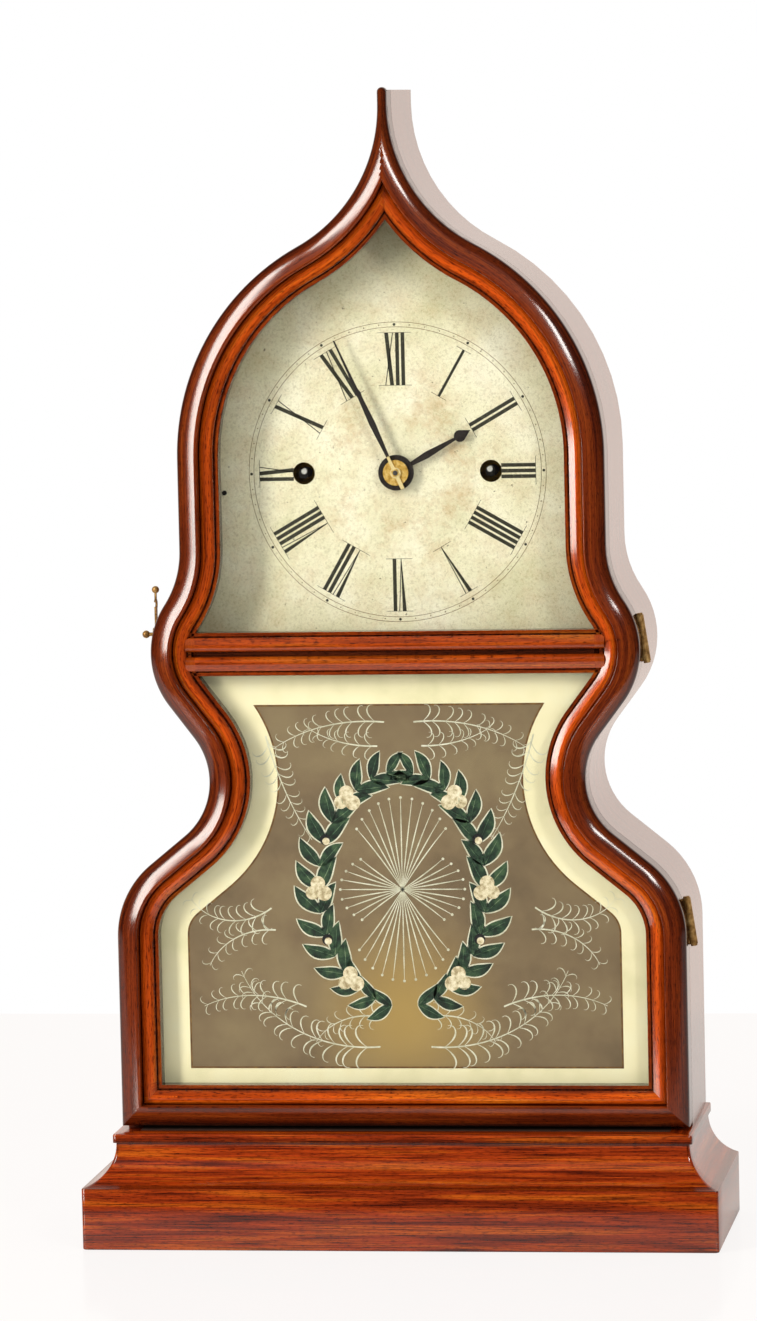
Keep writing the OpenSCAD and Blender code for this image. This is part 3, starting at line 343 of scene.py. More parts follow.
def closeSolid(piece):
    editAll(piece)
    bpy.ops.mesh.remove_doubles(threshold=0.002 * mm)
    bpy.ops.mesh.normals_make_consistent(inside=False)
    bpy.ops.object.mode_set(mode="OBJECT")


def layGrain(piece, grainAt):
    # Texture map in metres: u along the grain, v across it
    mesh = piece.data
    layer = mesh.uv_layers[0] if mesh.uv_layers else mesh.uv_layers.new(name="grain")
    places = [grainAt(v.co / mm) for v in mesh.vertices]
    for loop in mesh.loops:
        layer.data[loop.index].uv = [c * mm for c in places[loop.vertex_index]]


def layShadeAndSoot(piece, sootAndShadeAt):
    # Soot and old polish in the quirks, together with painted shade in the quirks, under the base's cap
    # and along the roll's outer edge, from 0 to 1 at each point
    layer = piece.data.attributes.new("sootAndShade", "FLOAT", "POINT")
    for vertex in piece.data.vertices:
        layer.data[vertex.index].value = min(1.0, max(0.0, sootAndShadeAt(vertex.co / mm)))


# The left side, the rails and the base take their grain from other parts of the board
grainShift = {"left": 900, "across": 2200, "base": 700}


def grainOnOutline(co):
    run, inset = runAndInset(abs(co.x), co.z)
    return (run + (grainShift["left"] if co.x < 0 else 0), inset - co.y)


def grainAcross(co):
    return (co.x + grainShift["across"], co.z - co.y)


def mitredGrain(co):
    # Along the foot between its mitres, along the outline elsewhere
    side, rise = caseShape["halfFoot"] - abs(co.x), co.z - caseShape["doorFoot"]
    return grainAcross(co) if rise < side and co.z < 90 else grainOnOutline(co)


print("helpers ready")


# Polished mahogany: a clear shellac skin over red-brown wood with long pores. The eye sees dark
# streaks along the grain, wide orange bands and a soft mirror that is broken by fine dust.
def polishedMahogany(name, look):
    material, tree = newMaterial(name)
    coords = addNode(tree, "TexCoord")
    source, where = coords.outputs[look["map"]], coords.outputs["Object"]
    # Each pattern is long along the grain, the first axis, and short across it
    streak, band, pores = [
        addNode(tree, "TexNoise", {"Scale": 1.0, **noise}, {"Vector": addNode(
            tree, "Mapping", {"Scale": [1 / (look[key][0 if axis == "x" else 1] * mm) for axis in "xyz"]},
            {"Vector": source}).outputs[0]}).outputs["Fac"]
        for key, noise in (("streak", {"Detail": 5.0, "Roughness": 0.6, "Distortion": 0.4}),
                           ("band", {"Detail": 3.0, "Roughness": 0.5, "Distortion": 0.6}),
                           ("pore", {"Detail": 2.0, "Roughness": 0.7}))]
    wood = addStain(tree, look["grainShare"], addRamp(tree, band, look["tones"]),
                    addRamp(tree, streak, look["grain"]))
    pored = addStain(tree, look["poreShare"], wood,
                     addRamp(tree, pores, [(0.36, "#4a2412"), (0.47, "#ffffff")]))
    # Soot and painted shade: the point attribute darkens the wood toward near black #1a0602
    sootAndShade = addNode(tree, "Attribute", attribute_name="sootAndShade").outputs["Fac"]
    worn = addRange(tree, addNoise(tree, where, 3, 4.0, 0.7), (0.3, 0.6), (0.75, 1.0))
    shadedAndSoiled = addCover(tree, addProduct(tree, sootAndShade, worn), pored, "#1a0602")
    dust = addNoise(tree, where, 0.5, 2.0)
    bump = addBump(tree, dust, look["bump"], 0.1)
    shader = addNode(tree, "BsdfPrincipled",
                     {"Specular IOR Level": look["specular"], "IOR": 1.5, "Coat Weight": look["coat"],
                      "Coat Roughness": look["coatRough"], "Coat IOR": look["coatIor"]},
                     {"Base Color": shadedAndSoiled, "Normal": bump, "Coat Normal": bump,
                      "Roughness": addRange(tree, dust, (0.3, 0.7), look["rough"])})
    if look.get("thinCoat"):
        # A thin worn coat that only mirrors well when it is seen along the surface
        facing = addNode(tree, "LayerWeight", {"Blend": 0.5}).outputs["Facing"]
        weight = addRange(tree, facing, (0.45, 0.75), (look["thinCoat"], 1.0))
        tree.links.new(weight, shader.inputs["Coat Weight"])
    return closeMaterial(material, shader)


woodLook = {"map": "UV", "streak": (45, 0.9), "band": (120, 5), "pore": (5, 0.42), "grainShare": 0.85,
            "poreShare": 0.75, "rough": (0.35, 0.55), "specular": 0.0, "bump": 0.09, "coat": 1.0,
            "coatRough": 0.13, "coatIor": 1.52,
            "grain": [(0.3, "#8a6a5c"), (0.55, "#ffffff")]}
rollMahogany = polishedMahogany("polishedMahoganyRoll", {**woodLook,
    "tones": [(0.3, "#541a06"), (0.5, "#80300c"), (0.72, "#a04612")]})
bandMahogany = polishedMahogany("polishedMahoganyBand", {**woodLook,
    "tones": [(0.28, "#9a3606"), (0.5, "#cc500c"), (0.75, "#de7416")]})
sideMahogany = polishedMahogany("polishedMahoganySide", {**woodLook, "streak": (60, 0.8),
    "rough": (0.26, 0.36), "specular": 0.62, "thinCoat": 0.14, "coatIor": 1.75, "coatRough": 0.24,
    "tones": [(0.3, "#542010"), (0.5, "#6e2c14"), (0.72, "#853a1a")]})
baseMahogany = polishedMahogany("polishedMahoganyBase", {**woodLook, "streak": (40, 0.6),
    "band": (110, 4.5), "coatIor": 1.56, "grain": [(0.36, "#3e1e12"), (0.54, "#ffffff")],
    "tones": [(0.3, "#5a1804"), (0.5, "#a0360a"), (0.68, "#bc560e")]})
frameLook = {**woodLook, "tones": [(0.3, "#2c0e04"), (0.5, "#421806"), (0.72, "#56220a")]}
frameMahogany = polishedMahogany("polishedMahoganyFrame", frameLook)
railMahogany = polishedMahogany("polishedMahoganyRail", {**frameLook, "map": "Object"})
print("mahogany ready")


# Softwood, planed and left raw inside: pale, with soft growth lines and a dull dusty surface
def rawSoftwood(name, along, tones):
    material, tree = newMaterial(name)
    scale = [1 / ((90 if axis == along else 5) * mm) for axis in "xyz"]
    spot = addNode(tree, "Mapping", {"Scale": scale},
                   {"Vector": addNode(tree, "TexCoord").outputs["Object"]})
    rings = addNode(tree, "TexNoise", {"Scale": 1.0, "Detail": 6.0, "Roughness": 0.7, "Distortion": 0.8},
                    {"Vector": spot.outputs[0]}).outputs["Fac"]
    shader = addNode(tree, "BsdfPrincipled", {"Roughness": 0.75},
                     {"Base Color": addRamp(tree, rings, tones),
                      "Normal": addBump(tree, rings, 0.3, 0.2)})
    return closeMaterial(material, shader)


backPine = rawSoftwood("planedPineBack", "z",
                       [(0.3, "#8a6238"), (0.5, "#ab8350"), (0.7, "#c49c66")])
innerPine = rawSoftwood("planedPineInner", "x",
                        [(0.3, "#94693c"), (0.5, "#b08a58"), (0.7, "#c8a26e")])
stainedPine = rawSoftwood("stainedGlazingStrip", "z",
                          [(0.3, "#2c1810"), (0.5, "#402416"), (0.7, "#54301e")])


# Metals: brass with brown patches and fine scratches, bright brass, steel, blued steel, black iron
def agedMetal(name, tones, rough, patch, metallic=1.0):
    material, tree = newMaterial(name)
    where = addNode(tree, "TexCoord").outputs["Object"]
    stain = addNoise(tree, where, patch, 5.0, 0.65)
    shader = addNode(tree, "BsdfPrincipled", {"Metallic": metallic},
                     {"Base Color": addRamp(tree, stain, tones),
                      "Roughness": addRange(tree, stain, (0.3, 0.7), rough),
                      "Normal": addBump(tree, addNoise(tree, where, 0.5, 3.0), 0.15, 0.05)})
    return closeMaterial(material, shader)


agedBrass = agedMetal("agedBrass", [(0.32, "#5c451c"), (0.5, "#a5853c"), (0.7, "#c9a852")],
                      (0.3, 0.5), 4)
hingeBronze = agedMetal("hingeBronze", [(0.32, "#6e4c26"), (0.5, "#b08448"), (0.7, "#dcb878")],
                        (0.35, 0.5), 3, metallic=0.6)
brightBrass = agedMetal("rubbedBrass", [(0.3, "#a87c30"), (0.48, "#dcb254"), (0.7, "#f2d88c")],
                        (0.3, 0.45), 2, metallic=0.4)
greySteel = agedMetal("dullSteel", [(0.32, "#5d5b58"), (0.5, "#8c8c8c"), (0.7, "#b4b4b2")],
                      (0.3, 0.5), 3)
bluedSteel = agedMetal("bluedSteelHand", [(0.3, "#221c1a"), (0.5, "#2d2827"), (0.7, "#3a3432")],
                       (0.35, 0.55), 2, metallic=0.4)
blackIron = agedMetal("blackPaintedIron", [(0.3, "#121110"), (0.5, "#1e1c1b"), (0.7, "#2a2725")],
                      (0.45, 0.6), 3, metallic=0.2)


# Steel with a painted highlight, a bright small round near an axis, and blued or black beyond it:
# a painted glint on the winders' end faces, whose black is painted shade for the winding holes, and a
# painted glint on the middle of the minute hand
def glintSteel(name, spots, reach, bright, dark, metallic):
    material, tree = newMaterial(name)
    where = addNode(tree, "TexCoord").outputs["Object"]
    flat = addNode(tree, "VectorMath", {1: (1, 0, 1)}, {0: where}, operation="MULTIPLY").outputs[0]
    nearest = None
    for x, z in spots:
        away = addDistance(tree, flat, x, z)
        nearest = away if nearest is None else addNode(
            tree, "Math", links={0: nearest, 1: away}, operation="MINIMUM").outputs[0]
    share = addRange(tree, nearest, ((reach - 0.3) * mm, (reach + 0.3) * mm), (0.0, 1.0))
    colour = addNode(tree, "Mix", {6: linear(bright), 7: linear(dark)}, {0: share}, data_type="RGBA")
    shader = addNode(tree, "BsdfPrincipled", {"Metallic": metallic, "Roughness": 0.42},
                     {"Base Color": colour.outputs[2],
                      "Normal": addBump(tree, addNoise(tree, where, 0.5, 3.0), 0.15, 0.05)})
    return closeMaterial(material, shader)


winderGlintSteel = glintSteel("winderSteelPaintedGlint", [(-50.6, 416.2), (50.6, 416.2)], 1.5, "#c9cbc6", "#0b0a09",
                        0.3)
minuteGlintSteel = glintSteel("minuteHandPaintedGlint", [(0, 415)], 9.6, "#ead79c", "#2d2827", 0.3)


# Window glass: clear, faintly green, mirrors more as the eye comes lower
def windowGlass(name):
    material, tree = newMaterial(name)
    where = addNode(tree, "TexCoord").outputs["Object"]
    bump = addBump(tree, addNoise(tree, where, 40, 1.0), 0.05, 1)
    facing = addNode(tree, "LayerWeight", {"Blend": 0.5}, {"Normal": bump})
    slant = addNode(tree, "Math", {1: 5.0}, {0: facing.outputs["Facing"]}, operation="POWER")
    edge = addNode(tree, "Math", {1: 0.96, 2: 0.04}, {0: slant.outputs[0]}, operation="MULTIPLY_ADD")
    clear = addNode(tree, "BsdfTransparent", {"Color": linear("#fefefd")})
    gloss = addNode(tree, "BsdfGlossy", {"Color": linear("#ffffff"), "Roughness": 0.02},
                    {"Normal": bump})
    return closeMaterial(material, addNode(
        tree, "MixShader", links={0: edge.outputs[0], 1: clear.outputs[0], 2: gloss.outputs[0]}))


clearGlass = windowGlass("oldWindowGlass")


# Painted tin dial: cream oil paint gone greenish and finely crackled, brown foxing that gathers in a
# ring round the hands, fly specks, and an olive tone that deepens toward the rim
dialLook = {"cloud": 38, "foxing": 20, "mottle": 1.3, "speck": 2.2, "centre": (0, 415),
            "rim": (76, 132), "ring": (14, 30, 38, 56)}


def agedDialPaint(name, look):
    material, tree = newMaterial(name)
    where = addNode(tree, "TexCoord").outputs["Object"]
    flat = addNode(tree, "VectorMath", {1: (1, 0, 1)}, {0: where}, operation="MULTIPLY").outputs[0]
    reach = addDistance(tree, flat, *look["centre"])
    base = addRamp(tree, addNoise(tree, where, look["cloud"], 6.0, 0.62),
                   [(0.3, "#d6d4ae"), (0.5, "#e8e5c6"), (0.68, "#f1efd8")])
    rim = addRange(tree, reach, [value * mm for value in look["rim"]], (0.0, 0.6))
    toned = addCover(tree, rim, base, "#b4ad84")
    rise, top, fall, end = [value * mm for value in look["ring"]]
    ring = addProduct(tree, addRange(tree, reach, (rise, top), (0.35, 1.0)),
                      addRange(tree, reach, (fall, end), (1.0, 0.45)))
    away = addNode(tree, "Mapping", {"Location": (0.31, 0, 0.17)}, {"Vector": where}).outputs[0]
    foxing = addRange(tree, addNoise(tree, away, look["foxing"], 10.0, 0.78), (0.46, 0.68), (0.0, 0.8))
    foxed = addCover(tree, addProduct(tree, foxing, ring), toned, "#c2a070")
    mottle = addRamp(tree, addNoise(tree, where, look["mottle"], 4.0, 0.8),
                     [(0.34, "#c4bfae"), (0.5, "#ffffff")])
    speck = addRange(tree, addNoise(tree, where, look["speck"], 2.0), (0.74, 0.79), (0.0, 0.85))
    specked = addCover(tree, speck, addStain(tree, 0.6, foxed, mottle), "#4a4030")
    shader = addNode(tree, "BsdfPrincipled", {"Roughness": 0.55}, {"Base Color": specked})
    return closeMaterial(material, shader)


dialPaint = agedDialPaint("agedCreamDialPaint", dialLook)


# Flat artist's paint, with faint brushed cloudiness
def handPaint(name, tones, patch, haze=None):
    material, tree = newMaterial(name)
    where = addNode(tree, "TexCoord").outputs["Object"]
    paint = addRamp(tree, addNoise(tree, where, patch, 5.0, 0.6), tones)
    if haze:
        # A warm patch over the panel's colour, soft at its edge, around a given centre
        share = addRange(tree, addDistance(tree, where, *haze["centre"]), (0.0, haze["reach"] * mm),
                         (haze["share"], 0.0), interpolation_type="SMOOTHSTEP")
        paint = addCover(tree, share, paint, haze["tone"])
    shader = addNode(tree, "BsdfPrincipled", {"Roughness": 0.5}, {"Base Color": paint})
    return closeMaterial(material, shader)


creamPaint = handPaint("creamBorderPaint", [(0.3, "#dedab0"), (0.5, "#ece6bf"), (0.7, "#eeebc8")], 30)
taupePaint = handPaint("taupePanelPaint", [(0.3, "#685840"), (0.5, "#7a684c"), (0.7, "#867656")], 45,
                       haze={"centre": (0, 122), "reach": 66, "tone": "#b89a50", "share": 0.8})
goldPaint = handPaint("goldLinePaint", [(0.3, "#4c3018"), (0.5, "#6b4a20"), (0.7, "#8a682c")], 3)
leafPaint = handPaint("leafGreenPaint", [(0.35, "#12221a"), (0.5, "#1f3c2a"), (0.65, "#3c5a3a")], 4)
whitePaint = handPaint("penWhitePaint", [(0.3, "#b4b49c"), (0.5, "#cfd0b8"), (0.7, "#e2e3d0")], 5)
berryPaint = handPaint("berryCreamPaint", [(0.35, "#9c8c66"), (0.5, "#cfc4a0"), (0.65, "#e6dfc4")], 2.5)
inkPaint = handPaint("numeralBlackPaint", [(0.3, "#23231a"), (0.6, "#30301f"), (0.74, "#77765c")], 1.6)
ribPaint = handPaint("leafRibPaint", [(0.35, "#2c5a3c"), (0.5, "#5a7a58"), (0.65, "#8c9c78")], 4)
eyePaint = handPaint("blackBerryPaint", [(0.35, "#0a0e10"), (0.6, "#14181a"), (0.7, "#20262a")], 3)
lineInk = handPaint("brownInkLine", [(0.3, "#5c4a2c"), (0.5, "#6e5a38"), (0.68, "#a08c60")], 3)
print("paints and metals ready")

solidFinishes = (
    (baseMahogany, "plinth_front plinth_sides cove_front cove_sides"),
    (innerPine, "base_back glue_blocks dial_blocks movement_posts"),
    (stainedPine, "case_floor glazing_strips"),
    (frameMahogany, "case_side_left case_side_right stile_left stile_right"),
    (backPine, "back_board"),
    (greySteel, "back_screws pillar_nuts centre_wheel anchor pendulum hammer gong"),
    (railMahogany, "bottom_rail crossbar"),
    (rollMahogany, "outer_roll"),
    (bandMahogany, "upper_band lower_band"),
    (clearGlass, "upper_glass tablet_glass"),
    (hingeBronze, "hinge_case_leaves hinge_door_leaves hinge_pins case_screws door_screws "
                  "latch_hook latch_pin"),
    (dialPaint, "dial"),
    (blackIron, "dial_pins gong_stand"),
    (agedBrass, "front_plate back_plate pillars time_barrel second_wheel third_wheel escape_wheel "
                "suspension_cock hour_wheel minute_wheel strike_barrel strike_second strike_third "
                "fly count_wheel"),
    (winderGlintSteel, "time_winder strike_winder"),
    (brightBrass, "bob minute_pipe"),
    (minuteGlintSteel, "minute_hand"),
    (bluedSteel, "hour_hand"))
for finish, nodeNames in solidFinishes:
    for nodeName in nodeNames.split():
        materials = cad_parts[nodeName].data.materials
        materials.clear()
        materials.append(finish)
print("finishes on the solids")


def mirrorHalf(piece):
    applyModifier(piece, "MIRROR", use_axis=(True, False, False), use_clip=True,
                  merge_threshold=0.001 * mm)


# Outer roll of the door: round outside, then a long gentle rise to its highest line at the inner wall
# outerShade is the painted shade on the roll's face: its darkest value and the height over which it fades
rollShape = {"flank": 2.4, "round": (6.9, 8.75), "lift": 19, "crown": (11.0, 10.05), "wall": 11.6,
             "foot": 3.4, "steps": 10, "riseSteps": 4, "outerShade": (1.4, 8.2)}


def rollProfile(shape):
    (roundAt, roundHigh), (crownAt, crownHigh) = shape["round"], shape["crown"]
    points = [(0.0, 0.0), (0.0, shape["flank"])]
    # From upright to the slope of the rise: a quadratic curve between the two tangents
    slope = math.tan(math.radians(shape["lift"]))
    knee = roundHigh - slope * roundAt
    for i in range(1, shape["steps"] + 1):
        t = i / shape["steps"]
        points.append((roundAt * t ** 2,
                       (1 - t) ** 2 * shape["flank"] + 2 * t * (1 - t) * knee + t ** 2 * roundHigh))
    for i in range(1, shape["riseSteps"] + 1):
        t = i / shape["riseSteps"]
        points.append((roundAt + (crownAt - roundAt) * t,
                       roundHigh + (crownHigh - roundHigh) * (1.1 * t - 0.1 * t ** 3)))
    points += [(crownAt + 0.33, crownHigh - 0.14), (shape["wall"], crownHigh - 0.6),
               (shape["wall"], 0.0)]
    return points


def rollShadeAndSoot(co):
    # Painted shade, with some dirt: dark at the outer edge and at the foot of the inner wall
    height, inset = caseShape["faceY"] - co.y, insetOf(co)
    if inset < rollShape["wall"] - 0.2:
        # The roll's face darkens toward its low outer edge: painted shade
        most, reach = rollShape["outerShade"]
        return most - height / reach
    return (rollShape["foot"] - height) / 2.0


def insetOf(co):
    return min(runAndInset(abs(co.x), co.z)[1], abs(co.z - caseShape["doorFoot"]))


def profileAtCrown(profile):
    return [Vector((0, caseShape["faceY"] - h, caseShape["top"] - d)) * mm for d, h in profile]


def profileAtRail(profile, z, up):
    return [Vector((0, caseShape["faceY"] - h, z + up * d)) * mm for d, h in profile]


def finishRun(half):
    bpy.ops.object.mode_set(mode="OBJECT")
    closeSolid(half)
    mirrorHalf(half)
    closeSolid(half)
    return half


def runDown(profile, pieces, cuts, name):
    # Both sides of a moulding: the right half is carried down the outline, cut and mirrored
    half = drawChain(profileAtCrown(profile), name)
    carryAlong(pieces)
    for place, normal in cuts:
        cutAway(place, normal)
    cutAway((0, 0, 0), (-1, 0, 0), fill=False)
    return finishRun(half)


def runAcross(profile, z, up, cut, name):
    half = drawChain(profileAtRail(profile, z, up), name)
    for _ in range(10):
        extrudeBy((caseShape["halfFoot"] / 10, 0, 0))
    cutAway(*cut)
    return finishRun(half)


footCorner = (caseShape["halfFoot"], 0, caseShape["doorFoot"])


def makeRoll():
    profile = rollProfile(rollShape)
    sides = runDown(profile, outline, [(footCorner, (-1, 0, -1))], "rollSides")
    foot = runAcross(profile, caseShape["doorFoot"], 1, (footCorner, (1, 0, 1)), "rollFoot")
    roll = joinPieces([sides, foot], "doorRoll")
    layGrain(roll, mitredGrain)
    layShadeAndSoot(roll, rollShadeAndSoot)
    return finishPiece(roll, "doorRoll", "door", rollMahogany, ["outer_roll"], smooth=40)


makeRoll()
print("outer roll carried round the door")

# Bead, groove and fillet round each pane; the bead is steep outside and slopes gently inward
bandShape = {"from": 11.65, "floor": 0.4, "bead": (11.85, 19.4), "flank": 1.7, "crown": (15.3, 4.1),
             "inner": 2.75, "edge": 0.3, "fillet": (20.1, 22.0), "filletHeight": 1.2, "steps": 7}
barShape = {"top": 331.0, "low": 307.7, "frame": 22.0, "lobe": 6, "butt": 19.1}


def bandProfile(shape):
    bead, crown, fillet = shape["bead"], shape["crown"], shape["fillet"]
    points = [(shape["from"], 0.0), (shape["from"], shape["flank"] - 0.4), (bead[0], shape["flank"])]
    for i in range(1, shape["steps"] + 1):
        a = math.radians(90 * i / shape["steps"])
        points.append((bead[0] + (crown[0] - bead[0]) * (1 - math.cos(a)),
                       shape["flank"] + (crown[1] - shape["flank"]) * math.sin(a)))
    for i in range(1, shape["steps"] + 1):
        t = i / shape["steps"]
        drop = (crown[1] - shape["inner"]) * (0.9 * t + 0.1 * t ** 2)
        points.append((crown[0] + (bead[1] - shape["edge"] - crown[0]) * t, crown[1] - drop))
    points.append((bead[1], shape["inner"] - 0.5))
    points += [(bead[1], shape["floor"]), (fillet[0], shape["floor"]),
               (fillet[0], shape["filletHeight"] - 0.2), (fillet[0] + 0.2, shape["filletHeight"]),
               (fillet[1] - 0.2, shape["filletHeight"]), (fillet[1], shape["filletHeight"] - 0.2),
               (fillet[1], 0.0)]
    return points


def makeBands():
    # The side runs pass the crossbar in one sweep; its mouldings butt against them
    profile = bandProfile(bandShape)
    lobe, frameWidth = outline[barShape["lobe"]], barShape["frame"]
    middle = (0, 0, (barShape["top"] + barShape["low"]) / 2)
    butt = ((lobe["centre"].x + lobe["size"] - barShape["butt"], 0, 0), (1, 0, 0))
    upperSides = runDown(profile, outline[:barShape["lobe"] + 1], [(middle, (0, 0, -1))],
                         "upperSides")
    upperFoot = runAcross(profile, barShape["top"] - frameWidth, 1, butt, "upperFoot")
    upper = joinPieces([upperSides, upperFoot], "upperBand")
    layGrain(upper, bandGrain)
    layShadeAndSoot(upper, bandShadeAndSoot)
    finishPiece(upper, "upperBand", "door", bandMahogany, ["upper_band"])
    lowerSides = runDown(profile, outline, [(middle, (0, 0, 1)), (footCorner, (-1, 0, -1))],
                         "lowerSides")
    lowerTop = runAcross(profile, barShape["low"] + frameWidth, -1, butt, "lowerTop")
    lowerFoot = runAcross(profile, caseShape["doorFoot"], 1, (footCorner, (1, 0, 1)), "lowerFoot")
    lower = joinPieces([lowerSides, lowerTop, lowerFoot], "lowerBand")
    layGrain(lower, bandGrain)
    layShadeAndSoot(lower, bandShadeAndSoot)
    finishPiece(lower, "lowerBand", "door", bandMahogany, ["lower_band"])


def bandShadeAndSoot(co):
    # Soot and painted shade in the band's grooves, on its fillet and on the bead's inner slope
    height, inset = caseShape["faceY"] - co.y, insetOf(co)
    middle = abs(co.z - (barShape["top"] + barShape["low"]) / 2)
    if middle < 14 and inset > 19.5:
        # Soot and painted shade in the groove along the middle of the crossbar and where its ends meet
        # the sides
        return max(1.2 - middle / 2.6, 1.1 - (height - 0.6) / 1.5, 0.9 - (inset - 19) / 9, 0.48)
    # The fillet beside the glass is darkened: dirt and painted shade
    if abs(height - bandShape["filletHeight"]) < 0.3 and 19.4 < inset < 22.3:
        return 0.72
    # Painted shade in the grooves at the bead's feet and on its inner slope
    return max(1.1 - (height - 0.6) / 1.5, (inset - 16.8) / 3.2 if inset < 19.6 else 0.0)


def bandGrain(co):
    run, inset = runAndInset(abs(co.x), co.z)
    if inset > barShape["frame"] + 0.3 or (305 < co.z < 334 and inset > 19.6):
        return grainAcross(co)
    return mitredGrain(co)


makeBands()
print("bands carried round both panes")


# The swept faces take the outline's own normals, so that their polish mirrors evenly
def sweepNormals(piece):
    mesh = piece.data
    kept = [Vector(corner.vector) for corner in mesh.corner_normals]
    for polygon in mesh.polygons:
        for corner in polygon.loop_indices:
            spot = mesh.vertices[mesh.loops[corner].vertex_index].co / mm
            run = runAndInset(abs(spot.x), spot.z)[0]
            arc = next((a for a in outline if run <= a["from"] + a["length"] + 0.001), outline[-1])
            normal = outlineNormal(arc, (run - arc["from"]) / arc["length"])
            normal = Vector((normal.x * (1 if spot.x > 0 else -1), 0, normal.y))
            facing = normal.dot(polygon.normal)
            if abs(facing) > 0.95:
                kept[corner] = normal * (1 if facing > 0 else -1)
    mesh.normals_split_custom_set([tuple(n) for n in kept])


# Sides, stiles and rails keep their solids' shape, smoothed, with the grain laid along the outline
def smoothWood():
    for nodeName, name, body, slotName, finish, grain in (
            ("case_side_left", "caseSideLeft", "case", "mahogany_side", sideMahogany, grainOnOutline),
            ("case_side_right", "caseSideRight", "case", "mahogany_side", sideMahogany, grainOnOutline),
            ("stile_left", "stileLeft", "door", "mahogany", frameMahogany, grainOnOutline),
            ("stile_right", "stileRight", "door", "mahogany", frameMahogany, grainOnOutline),
            ("bottom_rail", "bottomRail", "door", "mahogany", frameMahogany, grainAcross),
            ("crossbar", "crossBar", "door", "mahogany", frameMahogany, grainAcross)):
        piece = smoothCopy(nodeName)
        layGrain(piece, grain)
        finishPiece(piece, name, body, finish, [nodeName])
        if body == "case":
            sweepNormals(piece)


smoothWood()

# Base: block with worn corners, cove and fillets over it, each carried round three sides
baseShape = {"width": 345.0, "depth": 125.0, "block": 33.5, "board": 18.0, "round": 0.7,
             "coveCentre": (-5.5, 54.5), "coveRadius": 22.0, "coveBack": 28.0, "lip": (16.5, 55.9),
             "cap": (15.0, 60.6), "corner": 1.6}


def blockProfile(shape):
    r, h, t = shape["round"], shape["block"], shape["board"]
    return [(t, 0), (r, 0), (0.3 * r, 0.3 * r), (0, r), (0, h - r), (0.3 * r, h - 0.3 * r),
            (r, h), (t, h)]


def coveProfile(shape):
    cx, cz = shape["coveCentre"]
    r, h = shape["coveRadius"], shape["block"]
    first = math.asin((h - cz) / r)
    points = [(shape["coveBack"], h)]
    points += [(cx + r * math.cos(first * (1 - i / 14)), cz + r * math.sin(first * (1 - i / 14)))
               for i in range(15)]
    lip, cap = shape["lip"], shape["cap"]
    points += [(lip[0], lip[1] - 0.3), (lip[0] - 0.3, lip[1]), (cap[0], lip[1]), (cap[0], cap[1] - 0.8),
               (cap[0] + 0.25, cap[1] - 0.25), (cap[0] + 0.8, cap[1]), (shape["coveBack"], cap[1])]
    return points


def carryRound(profile, name, nodes):
    # Profile points are (depth in from the face, height); front and side runs meet in a mitre
    halfWidth, halfDepth = baseShape["width"] / 2, baseShape["depth"] / 2
    corner = (halfWidth, -halfDepth, 0)
    front = drawChain([Vector((0, -halfDepth + p, z)) * mm for p, z in profile], name)
    for _ in range(10):
        extrudeBy((halfWidth / 10, 0, 0))
    cutAway(corner, (1, 1, 0), fill=False)
    bpy.ops.object.mode_set(mode="OBJECT")
    side = drawChain([Vector((halfWidth - p, -halfDepth, z)) * mm for p, z in profile], name + "Side")
    for _ in range(5):
        extrudeBy((0, baseShape["depth"] / 5 + 0.1, 0))
    cutAway(corner, (-1, -1, 0), fill=False)
    cutAway((0, halfDepth, 0), (0, 1, 0))
    bpy.ops.object.mode_set(mode="OBJECT")
    piece = joinPieces([front, side], name)
    closeSolid(piece)
    editAll(piece)
    bpy.ops.mesh.select_mode(type="EDGE")
    bpy.ops.mesh.select_all(action="DESELECT")
    bpy.ops.object.mode_set(mode="OBJECT")
    for edge in piece.data.edges:
        ends = [piece.data.vertices[v].co / mm for v in edge.vertices]
        edge.select = all(abs(e.x - halfWidth + e.y + halfDepth) < 0.01 for e in ends)
    bpy.ops.object.mode_set(mode="EDIT")
    bpy.ops.mesh.bevel(offset=baseShape["corner"] * mm, segments=4, affect="EDGES")
    bpy.ops.object.mode_set(mode="OBJECT")
    mirrorHalf(piece)
    closeSolid(piece)
    layGrain(piece, roundGrain)
    layShadeAndSoot(piece, baseShadeAndSoot)
    finishPiece(piece, name, "case", baseMahogany, nodes)


def baseShadeAndSoot(co):
    # Painted shade: dark lines under the cap, at the foot of the cove and along the worn lower edge
    lip, block = baseShape["lip"][1], baseShape["block"]
    return max(0.95 - abs(co.z - lip) / 1.3, 0.85 - abs(co.z - block - 0.4) / 1.6, 0.7 - co.z / 1.5)


def roundGrain(co):
    # Along the front and on round the corners; up the face, out over the tops
    halfWidth, halfDepth = baseShape["width"] / 2, baseShape["depth"] / 2
    fromSide, fromFront = halfWidth - abs(co.x), co.y + halfDepth
    if fromSide < fromFront:
        u = halfWidth + fromFront
        return (-u if co.x < 0 else u) + grainShift["base"], co.z + fromSide
    return co.x + grainShift["base"], co.z + fromFront


carryRound(blockProfile(baseShape), "baseBlock", ["plinth_front", "plinth_sides"])
carryRound(coveProfile(baseShape), "baseCove", ["cove_front", "cove_sides"])
print("base carried round")


# Flat painted work is cut from thin plates, closed all round
def drawPlate(points, y, name, thickness=0.02):
    piece = drawChain([Vector((x, y, z)) * mm for x, z in points], name)
    bpy.ops.mesh.edge_face_add()
    extrudeBy((0, thickness, 0))
    bpy.ops.mesh.select_all(action="SELECT")
    bpy.ops.mesh.normals_make_consistent(inside=False)
    bpy.ops.object.mode_set(mode="OBJECT")
    return piece


